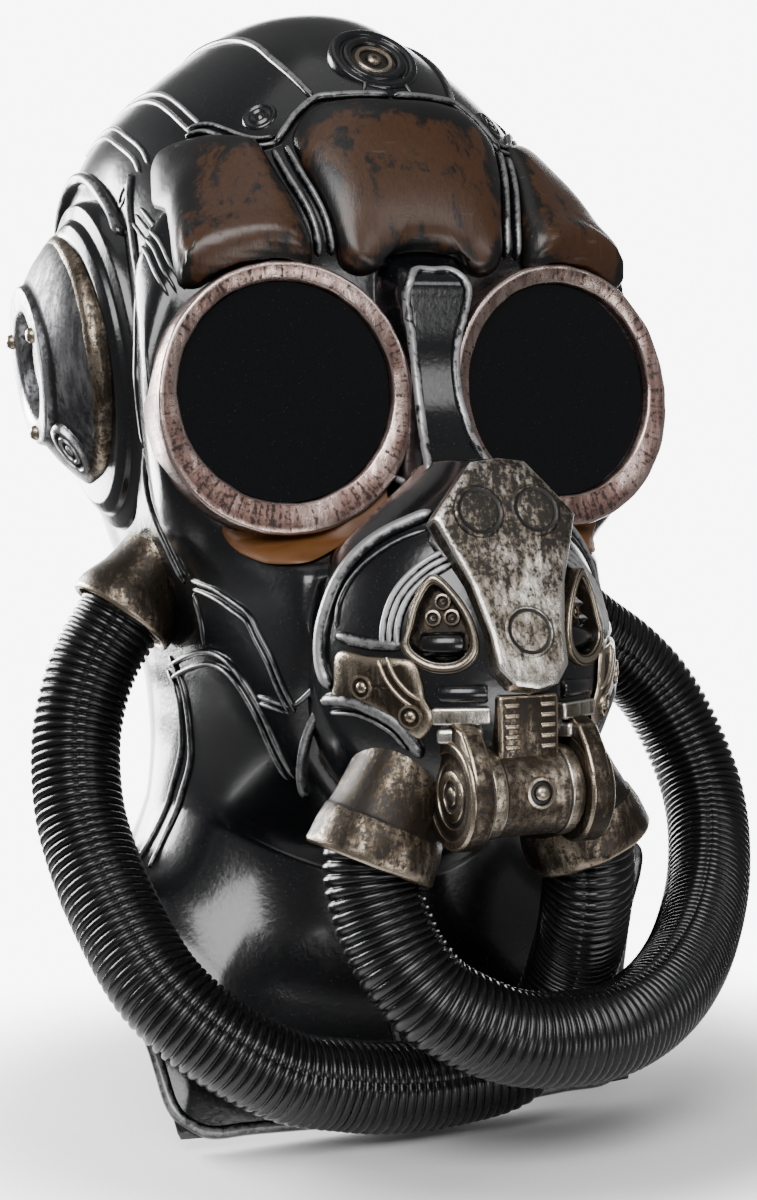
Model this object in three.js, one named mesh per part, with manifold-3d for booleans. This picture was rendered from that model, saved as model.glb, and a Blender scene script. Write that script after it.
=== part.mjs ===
// Full-head latex gas mask of the costume kind: a hollow hood with neck and bib, padded brow,
// round goggles, a respirator muzzle, ear housings and two corrugated hoses that cross under
// the chin. Millimetres, +Z up, the face looks along -Y.
//
// Every size below is given from eye level: midway between the two goggle glasses. At the end
// the whole group moves so that the origin lies inside the crown, where a head carries it.

import * as THREE from 'three';
import { mergeVertices } from 'three/addons/utils/BufferGeometryUtils.js';
import Module from 'manifold-3d';

// Driving dimensions

const WALL = 2.8;               // latex skin
const GAP = 0.3;                // clearance kept between two pieces
const SEAT_Y = 106;             // the crown's inside top, from eye level
const SEAT_Z = 145.2;

const EYE_X = 52;               // half the distance between the glasses
const RIM_RADIUS = 44.2;
const RIM_BORE = 38;            // the glass lies inside it
const RIM_FRONT = 8;            // rim face ahead of the seat
const LENS_THICKNESS = 2.6;
const LENS_FRONT = 3;           // the glass's edge ahead of the seat
const SEAT_DEPTH = 6;           // flat around each goggle, behind the glass
const SEAT_FADE = 22;           // over which that flat dies out
const SEAT_REACH = 26;          // skin further behind it stays where it is

const TEMPLE_OUT = 8;           // the face's shell stands this far outside the ear recess
const TEMPLE_BACK = 40;
const TEMPLE_STEP = 10;
const TEMPLE_MIDDLE_Z = 8;
const TEMPLE_HALF_HEIGHT = 78;

const BRIDGE_HALF = 7;          // flat top of the nose bridge
const BRIDGE_FADE = 4;          // over which its flanks fall

const CHEEK_Z = -88;            // the cheeks rise to an oval round the muzzle
const CHEEK_HALF_WIDTH = 53;
const CHEEK_HALF_HEIGHT = 65;
const CHEEK_FRONT_Y = -26;
const CHEEK_JAW_Y = 16;         // how much further back that lies under the jaw
const CHEEK_RISE = 40;          // no skin moves further than this
const CHEEK_END = 1.5;          // share of the oval where the rise dies out
const CHEEK_FADE = 0.45;

const JAW_Z = -100;             // below this the sections follow the neck's own base line
const NECK_FRONT_Z = -205;
const NECK_SIDE_Z = -168;
const NECK_BACK_Z = -188;

const PAD_THICKNESS = 8;
const PAD_EAR_GAP = 5;          // bare skin between a side pad and the ear housing
const CRESCENT_THICKNESS = 3.5;
const BRACKET_THICKNESS = 4;
const BRACKET_BACK_Y = -30;
const PLATE_THICKNESS = 8;
const PLATE_TOP_Y = -59.6;
const PLATE_FOOT_Y = -83.7;

const BARREL_RADIUS = 15;
const BARREL_HALF = 17;
const KNUCKLE_RADIUS = 18;
const KNUCKLE_WIDTH = 9;
const HINGE_Y = -71;
const HINGE_Z = -133;

const HOSE_RADIUS = 16;
const HOSE_SIDES = 8;
const HOSE_STEPS = 33;

// Level sections of head and neck, from the neck's foot up to the crown
const LEVELS = [
  // z, half_width, front_y, back_y, side_y, front_power, back_power
  [-222, 76, 30, 158, 94, 2.8, 2.2],
  [-195, 70, 32, 156, 94, 2.5, 2.2],
  [-160, 67, 28, 158, 92, 2.4, 2.2],
  [-130, 67, 16, 164, 88, 2.5, 2.2],
  [-100, 68.5, 6, 174, 84, 2.9, 2.2],
  [-70, 73.5, 2, 186, 82, 4.0, 2.2],
  [-35, 83, 3, 198, 84, 6.0, 2.2],
  [0, 88, 4, 206, 88, 7.0, 2.2],
  [30, 89, 1, 211, 94, 5.6, 2.2],
  [55, 89, -2, 213, 100, 3.3, 2.2],
  [80, 85, 6, 210, 107, 2.3, 2.2],
  [100, 75, 16, 202, 111, 2.1, 2.2],
  [118, 58, 31, 185, 112, 2.0, 2.1],
  [133, 39, 52, 162, 111, 2.0, 2.1],
  [143, 22, 74, 137, 108, 2.0, 2.0],
  [148, 0, 106, 106, 106, 2.0, 2.0],
];

// Hem of the bib behind its front corner, from that corner round to the middle of the back
const HEM_FRONT = [0, 16, -262];
const HEM_CORNER_TURN = 45;
const HEM_SIDE = [
  // turn, x, y, z
  [45, 90, 18, -258],
  [56, 94, 33, -228],
  [72, 107, 48, -200],
  [90, 116, 60, -177],
  [112, 96, 108, -184],
  [144, 60, 148, -208],
  [180, 0, 166, -222],
];

// Ridge of the nose between the goggles
const BRIDGE = [
  // z, y
  [-48, -10],
  [-30, -30],
  [-18, -23],
  [-4, -16],
  [14, -13],
  [30, -15],
  [38, -16],
  [46, -4],
];

// Column directions round the hood in degrees from the front, closer together on the face
const TURNS = [0, 4.5, 6, 8, 11, 17, 25, 35, 45, 56, 68, 82, 98, 116, 136, 158];
const ROWS_NECK = 4;
const ROWS_HEAD = 15;
const ROWS_BIB = 3;

// Muzzle sections from the nose down to the chin
const MUZZLE = [
  // z, half_width, front_y
  [-24, 12, -48],
  [-31, 25, -56],
  [-40, 35, -61],
  [-52, 43, -66],
  [-66, 49, -71],
  [-84, 53, -76],
  [-104, 52, -77],
  [-124, 45, -72],
  [-142, 32, -60],
  [-152, 20, -48],
];
const MUZZLE_SIDE_Y = -24;
const MUZZLE_BACK_Y = 24;
const MUZZLE_POWER = 1.9;

// Outlines seen from the front, one half of each symmetric piece
const PAD_CENTRE = [
  // x, z
  [0, 104],
  [18, 103],
  [33, 99],
  [45, 85],
  [42, 62],
  [39, 47],
  [20, 43],
  [0, 43],
];
const PAD_SIDE = [
  [49, 86],
  [60, 91],
  [71, 88],
  [77, 73],
  [79, 54],
  [76, 38],
  [60, 30],
  [42, 46],
  [46, 62],
];
const PLATE = [
  [0, -23.6],
  [10, -25.5],
  [18, -32],
  [26.4, -42],
  [21, -52],
  [16.5, -66],
  [13.5, -80],
  [12.3, -91],
  [7, -96],
  [0, -98],
];
const BRACKET = [
  [29, -101],
  [40, -94],
  [48, -90],
  [51, -97],
  [45, -105],
  [33, -113],
];
const VENT = [
  // across the cheek of the muzzle, up
  [4, 16],
  [9, 8],
  [12, -2],
  [9, -11],
  [2, -16],
  [-7, -14],
  [-11, -8],
  [-8, 2],
  [-2, 11],
];
const VENT_SECTION = [
  // share of the outline, along
  [1, -12],
  [1, 2],
  [0.86, 4],
  [0.72, 2],
  [0.72, -12],
];

// Directions are given for the wearer's left side, at positive x
const LENS_AXIS = [0.094, -0.994, 0.052];
const VENT_CENTRE = [26, -67, -77];
const VENT_AXIS = [0.56, -0.82, 0.1];
const MUZZLE_PORT_MOUTH = [42, -41, -158];
const MUZZLE_PORT_AXIS = [0.42, 0.02, -0.907];
const EAR_CENTRE = [104.5, 92, 17];
const EAR_BASE_CENTRE = [95, 92, 12];
const EAR_AXIS = [0.99, 0, -0.12];
const EAR_PORT_MOUTH = [88.5, 73, -79];
const EAR_PORT_AXIS = [0.62, 0, -0.785];
const BOSS_CENTRE = [0, 33, 120.5];
const BOSS_AXIS = [0, -0.74, 0.67];

// Profiles of the round pieces, run along their own axis with zero at the face
const RIM_PROFILE = [
  // radius, along
  [RIM_BORE, -14],
  [RIM_RADIUS, -14],
  [RIM_RADIUS, RIM_FRONT - 3],
  [RIM_RADIUS - 2.5, RIM_FRONT],
  [RIM_BORE + 2, RIM_FRONT - 0.4],
  [RIM_BORE, RIM_FRONT - 3],
  [RIM_BORE, -14],
];
const LENS_PROFILE = [
  [0, LENS_FRONT - LENS_THICKNESS],
  [RIM_BORE - GAP, LENS_FRONT - LENS_THICKNESS],
  [RIM_BORE - GAP, LENS_FRONT],
  [0, LENS_FRONT + 1.2],
];
const MUZZLE_PORT_PROFILE = [
  [0, -46],
  [17, -46],
  [18.5, -30],
  [20, -16],
  [22.5, -10],
  [22.5, 0],
  [19.5, 0],
  [19.5, -12],
  [0, -12],
];
const EAR_PORT_PROFILE = [
  [0, -30],
  [15, -30],
  [16, -20],
  [18.5, -13],
  [20.5, -9],
  [20.5, 0],
  [18, 0],
  [18, -7],
  [0, -7],
];
const EAR_BASE_PROFILE = [
  [0, -40],
  [47, -40],
  [47, -4],
  [44, 0],
  [0, 0],
];
const EAR_BASE_STRETCH = 1.3;   // the base is taller than it is deep
const EAR_PROFILE = [
  [0, -30],
  [43, -30],
  [42, -2],
  [40, 0],
  [23, 0],
  [21, 3],
  [15, 3],
  [14, -4],
  [0, -4],
];
const BOSS_PROFILE = [
  [0, -16],
  [17, -16],
  [17, 2],
  [15, 4],
  [12.5, 4],
  [11.5, 1.5],
  [0, 1.5],
];

// Hose routes from muzzle port to the other side's ear port
const HOSE_FROM_RIGHT = [
  [-37.4, -41.2, -148],
  [-40.7, -41.1, -155.3],
  [-41, -43.5, -168],
  [-37, -49, -184],
  [-33, -53, -193],
  [-25, -57, -203],
  [-8, -60, -213],
  [7, -60, -218],
  [26, -58, -220],
  [47, -51, -220],
  [73, -34, -216],
  [102, -6, -208],
  [128, 24, -193],
  [142, 44, -175],
  [147, 57, -157],
  [144, 66, -137],
  [135, 71, -118],
  [122, 73, -104],
  [105, 73, -92],
  [88.5, 73, -79],
  [84.8, 73, -74.3],
];
const HOSE_FROM_LEFT = [
  [37.4, -41.2, -148],
  [40.7, -41.1, -155.3],
  [43, -38, -168],
  [46, -30, -181],
  [50, -19, -193],
  [52, -7, -208],
  [47, 0, -227],
  [30, 0, -241],
  [6, -1, -244.5],
  [-18, -2, -244],
  [-36, -2, -241],
  [-59, -2, -234.5],
  [-83, 3, -219],
  [-98, 15, -202],
  [-105.5, 34, -180],
  [-109, 50, -160],
  [-110, 60, -142],
  [-107, 69, -119],
  [-99.5, 73, -97],
  [-88.5, 73, -79],
  [-84.8, 73, -74.3],
];

// Finishes
const FINISH = {
  latex: { color: 0x14171b, roughness: 0.38, metalness: 0 },
  pad: { color: 0x4a2c18, roughness: 0.48, metalness: 0 },
  copper: { color: 0x6e4f45, roughness: 0.42, metalness: 0.8 },
  lens: { color: 0x08090b, roughness: 0.08, metalness: 0 },
  bronze: { color: 0x6b5d4a, roughness: 0.45, metalness: 0.85 },
  steel: { color: 0x77746e, roughness: 0.4, metalness: 0.85 },
  hose: { color: 0x101113, roughness: 0.45, metalness: 0 },
};

const wasm = await Module();
wasm.setup();

// Small helpers

const mirrored = ([x, y, z]) => [-x, y, z];
const clamp01 = (v) => Math.min(Math.max(v, 0), 1);
const ease = (v) => clamp01(v) ** 2 * (3 - 2 * clamp01(v));
const lerp = (a, b, t) => a.map((v, i) => v + (b[i] - v) * t);

// Smooth curve through the rows of a table, at a row position
function rowAt(table, position) {
  const last = table.length - 1;
  const i = Math.min(Math.max(Math.floor(position), 0), last - 1);
  const t = position - i;
  const b = table[i];
  const c = table[i + 1];
  const a = i > 0 ? table[i - 1] : b.map((v, k) => 2 * v - c[k]);
  const d = i + 1 < last ? table[i + 2] : c.map((v, k) => 2 * v - b[k]);
  return b.map((v, k) => {
    const bend = 2 * a[k] - 5 * v + 4 * c[k] - d[k];
    const twist = 3 * v - a[k] - 3 * c[k] + d[k];
    return v + 0.5 * ((c[k] - a[k]) * t + bend * t * t + twist * t * t * t);
  });
}

// The same curve, found by the value in its first column
function rowFor(table, value) {
  const rising = table[table.length - 1][0] > table[0][0];
  let low = 0;
  let high = table.length - 1;
  for (let k = 0; k < 30; k++) {
    const middle = (low + high) / 2;
    if ((rowAt(table, middle)[0] < value) === rising) {
      low = middle;
    } else {
      high = middle;
    }
  }
  return rowAt(table, (low + high) / 2);
}

// A closed body from a geometry, with its faces turned outward
function solidOf(geometry) {
  const plain = new THREE.BufferGeometry();
  plain.setAttribute('position', geometry.getAttribute('position'));
  plain.setIndex(geometry.getIndex());
  const merged = mergeVertices(plain, 1e-3);
  const points = merged.getAttribute('position').array;
  const corners = Array.from(merged.getIndex().array);
  const faces = [];
  let volume = 0;
  for (let k = 0; k < corners.length; k += 3) {
    const [a, b, c] = corners.slice(k, k + 3);
    if (a !== b && b !== c && c !== a) {
      faces.push([a, b, c]);
      const [p, q, r] = [a, b, c].map((v) => new THREE.Vector3().fromArray(points, 3 * v));
      volume += p.dot(q.cross(r));
    }
  }
  const turned = volume < 0 ? faces.map(([a, b, c]) => [a, c, b]) : faces;
  return new wasm.Manifold(new wasm.Mesh({
    numProp: 3,
    vertProperties: Float32Array.from(points),
    triVerts: Uint32Array.from(turned.flat()),
  }));
}

function geometryOf(solid) {
  const mesh = solid.getMesh();
  const geometry = new THREE.BufferGeometry();
  geometry.setAttribute('position', new THREE.BufferAttribute(Float32Array.from(mesh.vertProperties), 3));
  geometry.setIndex(new THREE.BufferAttribute(Uint32Array.from(mesh.triVerts), 1));
  return geometry;
}

// A skin over rings of points; an end that is a single point is closed by a fan
function skin(rings) {
  const positions = [];
  const index = [];
  const first = rings.map((ring) => {
    const at = positions.length / 3;
    ring.forEach((point) => positions.push(...point));
    return at;
  });
  for (let i = 0; i + 1 < rings.length; i++) {
    const [lower, upper] = [rings[i], rings[i + 1]];
    const count = Math.max(lower.length, upper.length);
    for (let j = 0; j < count; j++) {
      const k = (j + 1) % count;
      const a = first[i] + (j % lower.length);
      const b = first[i] + (k % lower.length);
      const c = first[i + 1] + (k % upper.length);
      const d = first[i + 1] + (j % upper.length);
      if (a !== b) {
        index.push(a, b, c);
      }
      if (c !== d) {
        index.push(a, c, d);
      }
    }
  }
  const geometry = new THREE.BufferGeometry();
  geometry.setAttribute('position', new THREE.Float32BufferAttribute(positions, 3));
  geometry.setIndex(index);
  return geometry;
}

// Put a shape that was made along +Z at a point, facing along an axis
function aimed(geometry, centre, axis) {
  const direction = new THREE.Vector3(...axis).normalize();
  const side = new THREE.Vector3(0, 0, 1).cross(direction);
  if (side.length() < 1e-6) {
    side.set(1, 0, 0);
  }
  side.normalize();
  const up = direction.clone().cross(side);
  const frame = new THREE.Matrix4().makeBasis(side, up, direction);
  return geometry.applyMatrix4(frame).translate(...centre);
}

function turned(profile, segments) {
  const points = profile.map(([radius, along]) => new THREE.Vector2(radius, along));
  return new THREE.LatheGeometry(points, segments).rotateX(Math.PI / 2);
}

function shapeOf(outline) {
  return new THREE.Shape(outline.map(([x, y]) => new THREE.Vector2(x, y)));
}

// Both halves of an outline that is given on one side only
function whole(half) {
  const other = half.filter(([x]) => x > 0).map(([x, z]) => [-x, z]).reverse();
  return [...half, ...other];
}

// An outline seen from the front, run straight back through the mask
function frontPrism(outline, fromY, toY) {
  const geometry = new THREE.ExtrudeGeometry(shapeOf(outline), { depth: toY - fromY, bevelEnabled: false });
  return solidOf(geometry.rotateX(Math.PI / 2).translate(0, toY, 0));
}

// The hood's surface

function bridgeY(z) {
  return rowFor(BRIDGE, z)[1];
}

// Swell a point of the plain sections: the face's shell up to the ear recess, flats round the
// goggles, the cheeks beside the muzzle and the ridge between the goggles
function swollen([x, y, z]) {
  const point = new THREE.Vector3(x, y, z);
  const side = x < 0 ? -1 : 1;
  const ahead = ease((TEMPLE_BACK - y) / TEMPLE_STEP);
  const level = ease((TEMPLE_HALF_HEIGHT - Math.abs(z - TEMPLE_MIDDLE_Z)) / 24);
  point.x += side * TEMPLE_OUT * ahead * level * ease((Math.abs(x) - 50) / 35);
  if (y < 90 && Math.abs(z) < 110) {
    const axis = new THREE.Vector3(side * LENS_AXIS[0], LENS_AXIS[1], LENS_AXIS[2]).normalize();
    const from = point.clone().sub(new THREE.Vector3(side * EYE_X, 0, 0));
    const along = from.dot(axis);
    const reach = from.addScaledVector(axis, -along).length();
    const share = ease((RIM_RADIUS + SEAT_FADE - reach) / SEAT_FADE);
    const behind = Math.max(-SEAT_DEPTH - along, 0);
    point.addScaledVector(axis, share * behind * ease((SEAT_REACH - behind) / 10));
  }
  if (y < 90 && z < -20) {
    const oval = Math.hypot(x / CHEEK_HALF_WIDTH, (z - CHEEK_Z) / CHEEK_HALF_HEIGHT);
    const clear = ease((Math.hypot(Math.abs(x) - EYE_X, z) - RIM_RADIUS - 2) / 16);
    const front = CHEEK_FRONT_Y + CHEEK_JAW_Y * ease((-105 - z) / 20);
    const rise = Math.min(Math.max(point.y - front, 0), CHEEK_RISE);
    point.y -= rise * clear * ease((CHEEK_END - oval) / CHEEK_FADE);
  }
  const top = BRIDGE[BRIDGE.length - 1][0];
  const foot = BRIDGE[0][0];
  if (y < 60 && z > foot && z < top) {
    const share = ease((BRIDGE_HALF + BRIDGE_FADE - Math.abs(x)) / BRIDGE_FADE);
    point.y += share * Math.min(bridgeY(z) - point.y, 0);
  }
  return point.toArray();
}

function neckBase(turn) {
  const ahead = Math.cos(turn);
  const end = ahead > 0 ? NECK_FRONT_Z : NECK_BACK_Z;
  return NECK_SIDE_Z + (end - NECK_SIDE_Z) * ahead * ahead;
}

// Point of the level section at a row position of LEVELS, in a direction round the head
function levelPoint(position, turn) {
  const [level, half, front, back, sideY, frontPower, backPower] = rowAt(LEVELS, position);
  const [s, c] = [Math.abs(Math.sin(turn)), Math.cos(turn)];
  const power = c > 0 ? frontPower : backPower;
  const depth = c > 0 ? sideY - front : back - sideY;
  let reach = 0;
  if (half > 1e-6) {
    reach = ((s / half) ** power + (Math.abs(c) / depth) ** power) ** (-1 / power);
  }
  let z = level;
  if (z < JAW_Z) {
    z = JAW_Z + (z - JAW_Z) * (neckBase(turn) - JAW_Z) / (LEVELS[0][0] - JAW_Z);
  }
  return swollen([reach * Math.sin(turn), sideY - reach * c, z]);
}

function hemPoint(turn) {
  const degrees = Math.abs(turn) * 180 / Math.PI;
  const side = turn < 0 ? -1 : 1;
  let point;
  if (degrees < HEM_CORNER_TURN) {
    point = lerp(HEM_FRONT, HEM_SIDE[0].slice(1), degrees / HEM_CORNER_TURN);
  } else {
    point = rowFor(HEM_SIDE, degrees).slice(1);
  }
  return [side * point[0], point[1], point[2]];
}

// From the neck's base line out to the hem, as one bend
function bibPoint(share, turn) {
  const base = levelPoint(0, turn);
  const hem = hemPoint(turn);
  const middle = lerp(base, hem, 0.5);
  middle[2] = base[2] + 0.3 * (hem[2] - base[2]);
  return lerp(lerp(base, middle, share), lerp(middle, hem, share), share);
}

const CROWN = LEVELS.length - 1;

// One run over the whole hood: 0 at the hem, 1 at the neck's base, 2 at the crown
function hoodPoint(run, turn) {
  if (run < 1) {
    return bibPoint(1 - run, turn);
  }
  return levelPoint((run - 1) * CROWN, turn);
}

function hoodNormal(run, turn) {
  const step = 0.004;
  const up = new THREE.Vector3(...hoodPoint(Math.min(run + step, 2), turn));
  up.sub(new THREE.Vector3(...hoodPoint(Math.max(run - step, 0), turn)));
  const round = new THREE.Vector3(...hoodPoint(run, turn + step));
  round.sub(new THREE.Vector3(...hoodPoint(run, turn - step)));
  return round.cross(up).normalize();
}

// Row positions from hem to just under the crown
function hoodRuns() {
  const jaw = 1 + 4 / CROWN;
  const runs = [];
  for (let k = 0; k < ROWS_BIB; k++) {
    runs.push(k / ROWS_BIB);
  }
  for (let k = 0; k < ROWS_NECK; k++) {
    runs.push(1 + (jaw - 1) * k / ROWS_NECK);
  }
  for (let k = 0; k < ROWS_HEAD; k++) {
    runs.push(jaw + (2 - jaw) * k / ROWS_HEAD);
  }
  return runs;
}

const ALL_TURNS = [
  ...TURNS.slice(1).map((v) => -v).reverse(),
  ...TURNS,
  180,
].map((v) => v * Math.PI / 180);

// Rings of the hood's surface, moved out (or in) along its normals
function hoodRings(out) {
  const rings = hoodRuns().map((run) => ALL_TURNS.map((turn) => {
    const point = new THREE.Vector3(...hoodPoint(run, turn));
    return point.addScaledVector(hoodNormal(run, turn), out).toArray();
  }));
  const [x, y, z] = hoodPoint(2, 0);
  rings.push([[x, y, z + out]]);
  return rings;
}

// The hood's outer form as a full body, grown by a clearance or a pad's thickness
function hoodEnvelope(out) {
  const foot = [0, 96, -228];
  return solidOf(skin([[foot], ...hoodRings(out)]));
}

// The muzzle's form, grown in the same way
function muzzleForm(out) {
  const rings = MUZZLE.map(([z, half, front], i) => {
    const ends = (i === 0 ? out : 0) - (i === MUZZLE.length - 1 ? out : 0);
    const ring = [];
    for (let k = -5; k <= 5; k++) {
      const turn = k * Math.PI / 10;
      const s = Math.abs(Math.sin(turn)) ** (2 / MUZZLE_POWER) * Math.sign(turn);
      const c = Math.cos(turn) ** (2 / MUZZLE_POWER);
      const y = MUZZLE_SIDE_Y - (MUZZLE_SIDE_Y - front + out) * c;
      ring.push([(half + out) * s, y, z + ends]);
    }
    ring.push([half + out, MUZZLE_BACK_Y, z + ends]);
    ring.push([-half - out, MUZZLE_BACK_Y, z + ends]);
    return ring;
  });
  const middle = (ring) => [[0, 0, ring[0][2]]];
  return solidOf(skin([middle(rings[0]), ...rings, middle(rings[rings.length - 1])]));
}

// Pieces

const group = new THREE.Group();
const body = new THREE.Group();
group.add(body);

function addPiece(name, solid, finish) {
  const material = new THREE.MeshStandardMaterial(FINISH[finish]);
  const mesh = new THREE.Mesh(geometryOf(solid), material);
  mesh.name = name;
  body.add(mesh);
}

// The wearer's left is at positive x
function addPair(name, make, finish) {
  addPiece(`${name}_left`, make((v) => v), finish);
  addPiece(`${name}_right`, make(mirrored), finish);
}

const envelope = hoodEnvelope(GAP);
const muzzleEnvelope = muzzleForm(GAP);

function eyeCylinder(radius, side, front) {
  const geometry = new THREE.CylinderGeometry(radius, radius, 70 + front, 28).rotateX(Math.PI / 2);
  geometry.translate(0, 0, (front - 70) / 2);
  return solidOf(aimed(geometry, side([EYE_X, 0, 0]), side(LENS_AXIS)));
}

// The ear housing's oval base, grown by a clearance
function earBase(side, clearance) {
  const profile = EAR_BASE_PROFILE.map(([radius, along]) => [radius + (radius > 0 ? clearance : 0), along]);
  const geometry = turned(profile, 24).scale(1, EAR_BASE_STRETCH, 1);
  return solidOf(aimed(geometry, side(EAR_BASE_CENTRE), side(EAR_AXIS)));
}

// Hood: outer skin, then the same rings moved in by the wall
function makeHood() {
  const outer = hoodRings(0);
  const inner = hoodRings(-WALL).reverse();
  let hood = solidOf(skin([...outer, ...inner, outer[0]]));
  for (const side of [(v) => v, mirrored]) {
    hood = hood.subtract(eyeCylinder(RIM_BORE + GAP, side, 40));
  }
  return hood;
}
addPiece('hood', makeHood(), 'latex');

// Brow pads and the crescents under the eyes: slices of a thicker hood
function hoodSlice(outline, thickness, backY) {
  let slice = hoodEnvelope(thickness).subtract(envelope);
  slice = slice.intersect(frontPrism(outline, -60, backY));
  for (const side of [(v) => v, mirrored]) {
    slice = slice.subtract(eyeCylinder(RIM_RADIUS + GAP, side, 40));
  }
  return slice;
}
addPiece('brow_pad_centre', hoodSlice(whole(PAD_CENTRE), PAD_THICKNESS, 60), 'pad');
addPair('brow_pad', (side) => {
  const outline = PAD_SIDE.map(([x, z]) => [side([x, 0, z])[0], z]);
  return hoodSlice(outline, PAD_THICKNESS, 52).subtract(earBase(side, PAD_EAR_GAP));
}, 'pad');
addPair('under_eye_pad', (side) => {
  const outline = [];
  for (let k = 0; k < 20; k++) {
    const turn = Math.PI * k / 19;
    outline.push([side([54 + 32 * Math.cos(turn), 0, 0])[0], -24 - 35 * Math.sin(turn)]);
  }
  return hoodSlice(outline, CRESCENT_THICKNESS, 40).subtract(muzzleEnvelope);
}, 'pad');

// Goggles
addPair('goggle_rim', (side) => {
  const ring = solidOf(aimed(turned(RIM_PROFILE, 28), side([EYE_X, 0, 0]), side(LENS_AXIS)));
  return ring.subtract(envelope);
}, 'copper');
addPair('lens', (side) => {
  return solidOf(aimed(turned(LENS_PROFILE, 28), side([EYE_X, 0, 0]), side(LENS_AXIS)));
}, 'lens');

// Muzzle and what stands on it

// Room taken by a hose port's outside, with the clearance round it
function portBlock(side) {
  const grown = (radius) => (radius > 0 ? radius + GAP : 0);
  const outside = MUZZLE_PORT_PROFILE.slice(0, 6).map(([radius, along]) => [grown(radius), along]);
  const geometry = turned([...outside, [0, 0]], 20);
  return solidOf(aimed(geometry, side(MUZZLE_PORT_MOUTH), side(MUZZLE_PORT_AXIS)));
}

function makeMuzzle() {
  let muzzle = muzzleForm(0).subtract(envelope);
  for (const side of [(v) => v, mirrored]) {
    muzzle = muzzle.subtract(eyeCylinder(RIM_RADIUS + GAP, side, RIM_FRONT + GAP));
    muzzle = muzzle.subtract(portBlock(side));
  }
  return muzzle;
}
addPiece('muzzle_body', makeMuzzle(), 'latex');

function makePlate() {
  const [, top] = PLATE[0];
  const [, foot] = PLATE[7];
  const lean = Math.atan2(PLATE_TOP_Y - PLATE_FOOT_Y, top - foot);
  const outline = whole(PLATE).map(([x, z]) => [x, (z - top) / Math.cos(lean)]);
  const settings = { depth: PLATE_THICKNESS, bevelEnabled: false };
  const geometry = new THREE.ExtrudeGeometry(shapeOf(outline), settings);
  geometry.translate(0, 0, -PLATE_THICKNESS);
  geometry.rotateX(Math.PI / 2 - lean);
  geometry.translate(0, PLATE_TOP_Y, top);
  return solidOf(geometry).subtract(muzzleEnvelope).subtract(envelope);
}
addPiece('nose_plate', makePlate(), 'steel');

// A ridged ring of the vent's outline, standing on the muzzle
function makeVent(side) {
  const rings = VENT_SECTION.map(([scale, along]) => VENT.map(([u, v]) => [u * scale, v * scale, along]));
  const geometry = aimed(skin([...rings, rings[0]]), VENT_CENTRE, VENT_AXIS);
  geometry.scale(side([1, 0, 0])[0], 1, 1);
  return solidOf(geometry).subtract(muzzleEnvelope);
}
addPair('vent_rim', makeVent, 'bronze');

addPair('jaw_bracket', (side) => {
  const outline = BRACKET.map(([x, z]) => [side([x, 0, z])[0], z]);
  const slice = muzzleForm(BRACKET_THICKNESS).subtract(muzzleEnvelope);
  return slice.intersect(frontPrism(outline, -90, BRACKET_BACK_Y));
}, 'bronze');

function cylinderAcross(radius, fromX, toX, segments) {
  const geometry = new THREE.CylinderGeometry(radius, radius, Math.abs(toX - fromX), segments);
  geometry.rotateZ(Math.PI / 2).translate((fromX + toX) / 2, HINGE_Y, HINGE_Z);
  return solidOf(geometry);
}
const barrel = cylinderAcross(BARREL_RADIUS, -BARREL_HALF, BARREL_HALF, 32);
addPiece('hinge_barrel', barrel.subtract(muzzleEnvelope), 'bronze');
addPair('hinge_knuckle', (side) => {
  const [from] = side([BARREL_HALF + GAP, 0, 0]);
  const [to] = side([BARREL_HALF + KNUCKLE_WIDTH, 0, 0]);
  return cylinderAcross(KNUCKLE_RADIUS, from, to, 32).subtract(muzzleEnvelope).subtract(portBlock(side));
}, 'bronze');

addPair('muzzle_port', (side) => {
  const cup = turned(MUZZLE_PORT_PROFILE, 20);
  return solidOf(aimed(cup, side(MUZZLE_PORT_MOUTH), side(MUZZLE_PORT_AXIS))).subtract(envelope);
}, 'bronze');

// Ear housings, ear ports and the crown's boss
addPair('ear_housing', (side) => {
  const disc = solidOf(aimed(turned(EAR_PROFILE, 22), side(EAR_CENTRE), side(EAR_AXIS)));
  return earBase(side, 0).add(disc).subtract(envelope);
}, 'steel');
addPair('ear_port', (side) => {
  const cup = solidOf(aimed(turned(EAR_PORT_PROFILE, 20), side(EAR_PORT_MOUTH), side(EAR_PORT_AXIS)));
  return cup.subtract(envelope).subtract(earBase(side, GAP));
}, 'bronze');
addPiece('crown_boss',
  solidOf(aimed(turned(BOSS_PROFILE, 18), BOSS_CENTRE, BOSS_AXIS)).subtract(envelope), 'bronze');

// Hoses
function makeHose(route) {
  const section = [];
  for (let k = 0; k < HOSE_SIDES; k++) {
    const turn = 2 * Math.PI * k / HOSE_SIDES;
    section.push([HOSE_RADIUS * Math.cos(turn), HOSE_RADIUS * Math.sin(turn)]);
  }
  const path = new THREE.CatmullRomCurve3(route.map((p) => new THREE.Vector3(...p)));
  return solidOf(new THREE.ExtrudeGeometry(shapeOf(section), { steps: HOSE_STEPS, extrudePath: path }));
}
addPiece('hose_left', makeHose(HOSE_FROM_LEFT), 'hose');
addPiece('hose_right', makeHose(HOSE_FROM_RIGHT), 'hose');

body.position.set(0, -SEAT_Y, -SEAT_Z);

export default group;
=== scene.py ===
# %% [markdown]
# # A gas mask hood of painted latex
# The real thing is one hollow latex casting with painted relief, two glasses and two ribbed hoses.
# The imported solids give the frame: every piece below is made in millimetres from eye level, midway
# between the two glasses, and is then moved into the frame, in metres, by one matrix.

# %% Load the frame
import math

import bmesh
import bpy
from mathutils import Matrix, Vector, noise
from mathutils.bvhtree import BVHTree


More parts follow.
